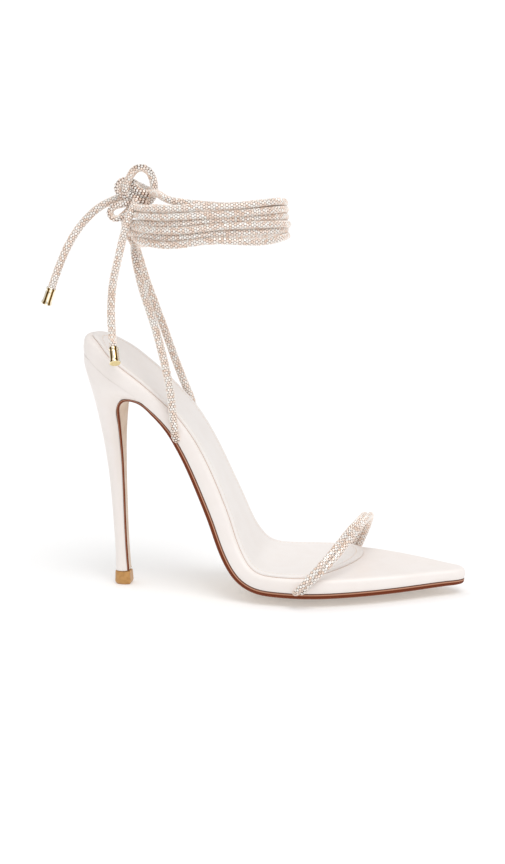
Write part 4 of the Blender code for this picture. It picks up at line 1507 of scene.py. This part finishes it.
@dataclass
class Bow:
    """Knot, loops and hanging ends with their metal tips, sizes in millimetres."""

    cords: CordWork
    finish: Finishes
    loop_radius: float = 1.8
    loop_step: float = 0.8
    wrap_centre: Point = (35.4, -4.6, 218.9)
    wrap_half: tuple[float, float] = (4.9, 3.7)
    wrap_lean: float = 27.0
    wrap_sway: float = 0.35
    tip_gap: float = 0.3
    # Painted reflections on the tips: number of dark stripes round the body, and the turn of the first
    reflection_stripes: int = 6
    reflection_stripe_turn: float = 78.5
    knot_seed: int = 31
    loop_seed: int = 41
    end_seed: int = 51

    WRAP_LEVELS = (-2.1, 2.1)
    WRAP_POINTS = 49
    KNOT_BULGE_ROUTE = (
        (32.0, -3.0, 223.6),
        (28.6, -4.0, 225.5),
        (24.8, -4.5, 225.0),
        (22.7, -4.5, 222.3),
        (23.5, -4.0, 218.9),
        (26.2, -3.2, 216.2),
        (30.0, -2.8, 214.8),
    )
    UPPER_LOOP_ROUTE = (
        (29.0, -4.4, 215.4),
        (27.5, -6.6, 218.6),
        (27.9, -7.0, 221.9),
        (29.3, -6.8, 226.4),
        (31.5, -6.6, 230.6),
        (36.0, -7.0, 233.2),
        (40.4, -6.5, 231.4),
        (42.6, -6.0, 226.4),
        (43.0, -5.8, 221.0),
        (41.4, -6.0, 216.4),
        (37.8, -6.4, 213.6),
        (33.8, -5.8, 213.9),
    )
    LOWER_LOOP_ROUTE = (
        (31.0, -5.8, 214.8),
        (28.2, -7.2, 214.0),
        (25.2, -8.0, 213.2),
        (22.2, -8.5, 212.6),
        (19.8, -8.7, 211.0),
        (18.9, -8.7, 208.6),
        (20.0, -8.5, 206.4),
        (22.6, -8.2, 205.6),
        (25.3, -7.6, 206.8),
        (27.8, -6.6, 209.2),
        (30.8, -5.6, 211.8),
    )
    BACK_END_ROUTE = (
        (28.0, -1.6, 218.0),
        (22.4, -0.8, 215.8),
        (14.5, -0.9, 212.5),
        (3.9, -1.6, 204.2),
        (-4.9, -2.0, 192.5),
        (-11.6, -2.0, 179.2),
        (-16.8, -2.0, 165.8),
    )
    SIDE_END_ROUTE = (
        (33.8, -6.6, 217.0),
        (33.2, -10.6, 213.8),
        (31.8, -14.8, 209.8),
        (30.3, -18.8, 204.4),
        (28.4, -22.7, 195.0),
        (26.3, -25.6, 185.1),
        (24.2, -27.2, 175.0),
        (22.9, -28.2, 163.0),
        (22.8, -28.7, 154.0),
        (23.1, -29.2, 147.5),
        (23.7, -30.6, 142.9),
        (24.2, -32.0, 141.2),
        (24.7, -33.4, 139.5),
    )
    # Metal tip from the cord to its end: distance and radius, first of the body, then of the flat face
    TIP_PROFILE = ((-0.4, 2.1), (-0.5, 2.4), (-0.2, 2.66), (0.6, 2.70), (1.0, 2.58), (1.3, 2.42),
                   (1.6, 2.42), (1.9, 2.54), (2.3, 2.60), (4.6, 2.60), (6.8, 2.62), (7.4, 2.70),
                   (7.8, 2.86), (8.1, 2.98), (8.6, 3.02), (8.85, 2.98))
    TIP_FACE = ((8.98, 2.86), (9.0, 2.2), (9.0, 1.1))
    TIP_SIDES = 60

    def build_knot(self) -> Piece:
        """Knot of cord wraps with one turn standing out beside them.

        Returns:
            The piece.
        """
        lean = math.radians(self.wrap_lean)
        axis = np.array((math.sin(lean), 0.0, math.cos(lean)))
        long = np.array((math.cos(lean), 0.0, -math.sin(lean)))
        deep = np.array((0.0, 1.0, 0.0))
        turn = np.linspace(0, 2 * math.pi, self.WRAP_POINTS)[:, None]
        wraps = [np.array(self.wrap_centre) + axis * (level + self.wrap_sway * np.sin(turn))
                 + long * self.wrap_half[0] * np.cos(turn) + deep * self.wrap_half[1] * np.sin(turn)
                 for level in self.WRAP_LEVELS]
        routes = [smooth_route(route, self.loop_step) for route in (*wraps, self.KNOT_BULGE_ROUTE)]
        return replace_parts(self.cords.cord("bow_knot", routes, self.cords.radius, self.knot_seed), "knot")

    def build_loops(self) -> list[Piece]:
        """Two loops that leave the knot and go back into it.

        Returns:
            The pieces.
        """
        pieces = []
        loops = (("upper_loop", self.UPPER_LOOP_ROUTE, self.cords.radius),
                 ("lower_loop", self.LOWER_LOOP_ROUTE, self.loop_radius))
        for seed, (node, route, radius) in enumerate(loops, self.loop_seed):
            points = smooth_route(route, self.loop_step)
            piece = self.cords.cord(f"{node}_cord", [points], radius, seed)
            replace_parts(piece, node)
            pieces.append(piece)
        return pieces

    def build_ends(self) -> list[Piece]:
        """Two hanging ends, each with its metal tip.

        Returns:
            The pieces, each cord before its tip.
        """
        pieces = []
        ends = (("back_end", self.BACK_END_ROUTE), ("side_end", self.SIDE_END_ROUTE))
        for seed, (node, route) in enumerate(ends, self.end_seed):
            points = smooth_route(route, self.cords.cord_step)
            piece = self.cords.cord(f"{node}_cord", [points], self.cords.radius, seed)
            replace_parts(piece, node)
            tip = self.build_tip(f"{node}_tip", points)
            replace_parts(tip, f"{node}_aglet")
            pieces += [piece, tip]
        return pieces

    def build_tip(self, name: str, points: Array) -> Piece:
        """Metal tip in line with the end of a cord: collar, body with painted reflection stripes and flared
        flat end.

        Args:
            name: name of the piece.
            points: the cord's points, in millimetres.

        Returns:
            The piece.
        """
        ahead = unit(points[-1] - points[-3])
        side = unit(np.cross(ahead, (0.0, 1.0, 0.0)))
        up = np.cross(ahead, side)
        turn = np.linspace(0, 2 * math.pi, self.TIP_SIDES, endpoint=False)
        ring = np.cos(turn)[:, None] * side + np.sin(turn)[:, None] * up
        rings = [points[-1] + ahead * (self.tip_gap + along) + ring * radius
                 for along, radius in self.TIP_PROFILE + self.TIP_FACE]
        # Painted reflection: stripes round the body, which the gold finish reads as rim
        painted_reflection = 0.5 + 0.5 * np.cos(self.reflection_stripes * (turn - math.radians(self.reflection_stripe_turn)))
        face = np.full(self.TIP_SIDES, RIM_ABOVE)
        marks = np.array([painted_reflection] * len(self.TIP_PROFILE) + [face] * len(self.TIP_FACE))
        return skin(name, np.array(rings), self.finish.gold, caps=(True, True), rim=marks)


@dataclass
class Studio:
    """Pale floor, soft light and the camera of the photograph, sizes in metres."""

    azimuth: float = 11.5
    elevation: float = 13.0
    roll: float = -1.2
    distance: float = 1.8
    lens: float = 138.0
    sensor: float = 36.0
    target: Point = (-0.002, 0.0, 0.095)
    aside: float = -0.00927
    above: float = -0.0070
    floor_half: float = 12.0
    floor_tone: float = 0.80
    floor_glow: float = 0.22
    sky: float = 0.62

    # Soft lamps: name, where each shines from, its spread in degrees and its strength
    SUNS = (("key_sun", (0.5, -0.6, 1.5), 40.0, 1.3), ("back_sun", (-0.6, 0.3, 1.4), 50.0, 0.35))

    def build_camera(self) -> None:
        """Camera at the photograph's angle."""
        a, e, r = (math.radians(v) for v in (self.azimuth, self.elevation, self.roll))
        right = Vector((math.cos(a), math.sin(a), 0.0))
        up = Vector((-math.sin(a) * math.sin(e), math.cos(a) * math.sin(e), math.cos(e)))
        back = Vector((math.sin(a) * math.cos(e), -math.cos(a) * math.cos(e), math.sin(e)))
        right, up = right * math.cos(r) + up * math.sin(r), up * math.cos(r) - right * math.sin(r)
        place = Vector(self.target) + right * self.aside + up * self.above + back * self.distance
        camera = bpy.data.objects.new("photo_camera", bpy.data.cameras.new("photo_camera"))
        camera.data.lens = self.lens
        camera.data.sensor_width = self.sensor
        turned = Matrix((right, up, back)).transposed().to_4x4()
        camera.matrix_world = Matrix.Translation(place) @ turned
        bpy.context.scene.collection.objects.link(camera)
        bpy.context.scene.camera = camera

    def build_floor(self) -> None:
        """Plain pale floor."""
        half = self.floor_half
        corners = [(-half, -half, 0), (half, -half, 0), (half, half, 0), (-half, half, 0)]
        mesh = bpy.data.meshes.new("floor")
        mesh.from_pydata(corners, [], [range(len(corners))])
        shader = Shader("pale_floor", Base_Color=(*[self.floor_tone] * 3, 1.0), Roughness=0.7,
                        Specular_IOR_Level=0.1, Emission_Color=(1.0, 1.0, 1.0, 1.0),
                        Emission_Strength=self.floor_glow)
        mesh.materials.append(shader.material)
        floor = bpy.data.objects.new("floor", mesh)
        bpy.context.scene.collection.objects.link(floor)

    def build_lights(self) -> None:
        """Even white surroundings with soft lamps above."""
        scene = bpy.context.scene
        scene.view_settings.view_transform = "Standard"
        world = scene.world or bpy.data.worlds.new("studio")
        scene.world = world
        world.use_nodes = True
        backdrop = world.node_tree.nodes["Background"]
        backdrop.inputs["Color"].default_value = (1.0, 1.0, 1.0, 1.0)
        backdrop.inputs["Strength"].default_value = self.sky
        for name, place, spread, strength in self.SUNS:
            lamp = bpy.data.lights.new(name, "SUN")
            lamp.energy = strength
            lamp.angle = math.radians(spread)
            thing = bpy.data.objects.new(name, lamp)
            thing.location = place
            thing.rotation_mode = "QUATERNION"
            thing.rotation_quaternion = (-Vector(place)).to_track_quat("-Z", "Y")
            scene.collection.objects.link(thing)


def keep_frame_only() -> None:
    """Remove the objects that Blender starts with."""
    kept = {thing.name for group in ("nodes", "bodies") for thing in frame[group].values()}
    for thing in list(bpy.data.objects):
        if thing.name not in kept:
            bpy.data.objects.remove(thing)


def main() -> None:
    """Build the studio and every piece of the shoe, and report each piece's face count."""
    logging.basicConfig(level=logging.INFO, format="%(name)s %(message)s")
    keep_frame_only()
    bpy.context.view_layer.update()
    studio = Studio()
    studio.build_camera()
    studio.build_floor()
    studio.build_lights()
    finish = Finishes.make()
    bed = Bed()
    cords = CordWork(finish, CrystalSleeve())
    bow = Bow(cords, finish)
    board = Board(bed, finish)
    base = Base(bed, Flap(bed), finish)
    pieces = [bow.build_knot(), *bow.build_loops(), *bow.build_ends(),
              cords.build_toe_strap(), *cords.build_ankle(),
              board.build_footbed(), board.build_sock(), board.build_stitches(StitchRow()),
              base.build_outsole(), base.build_heel(), base.build_lift()]
    for piece in pieces:
        LOG.info("%s: %d faces", piece.name, len(piece.data.polygons))


if __name__ == "__main__":
    main()
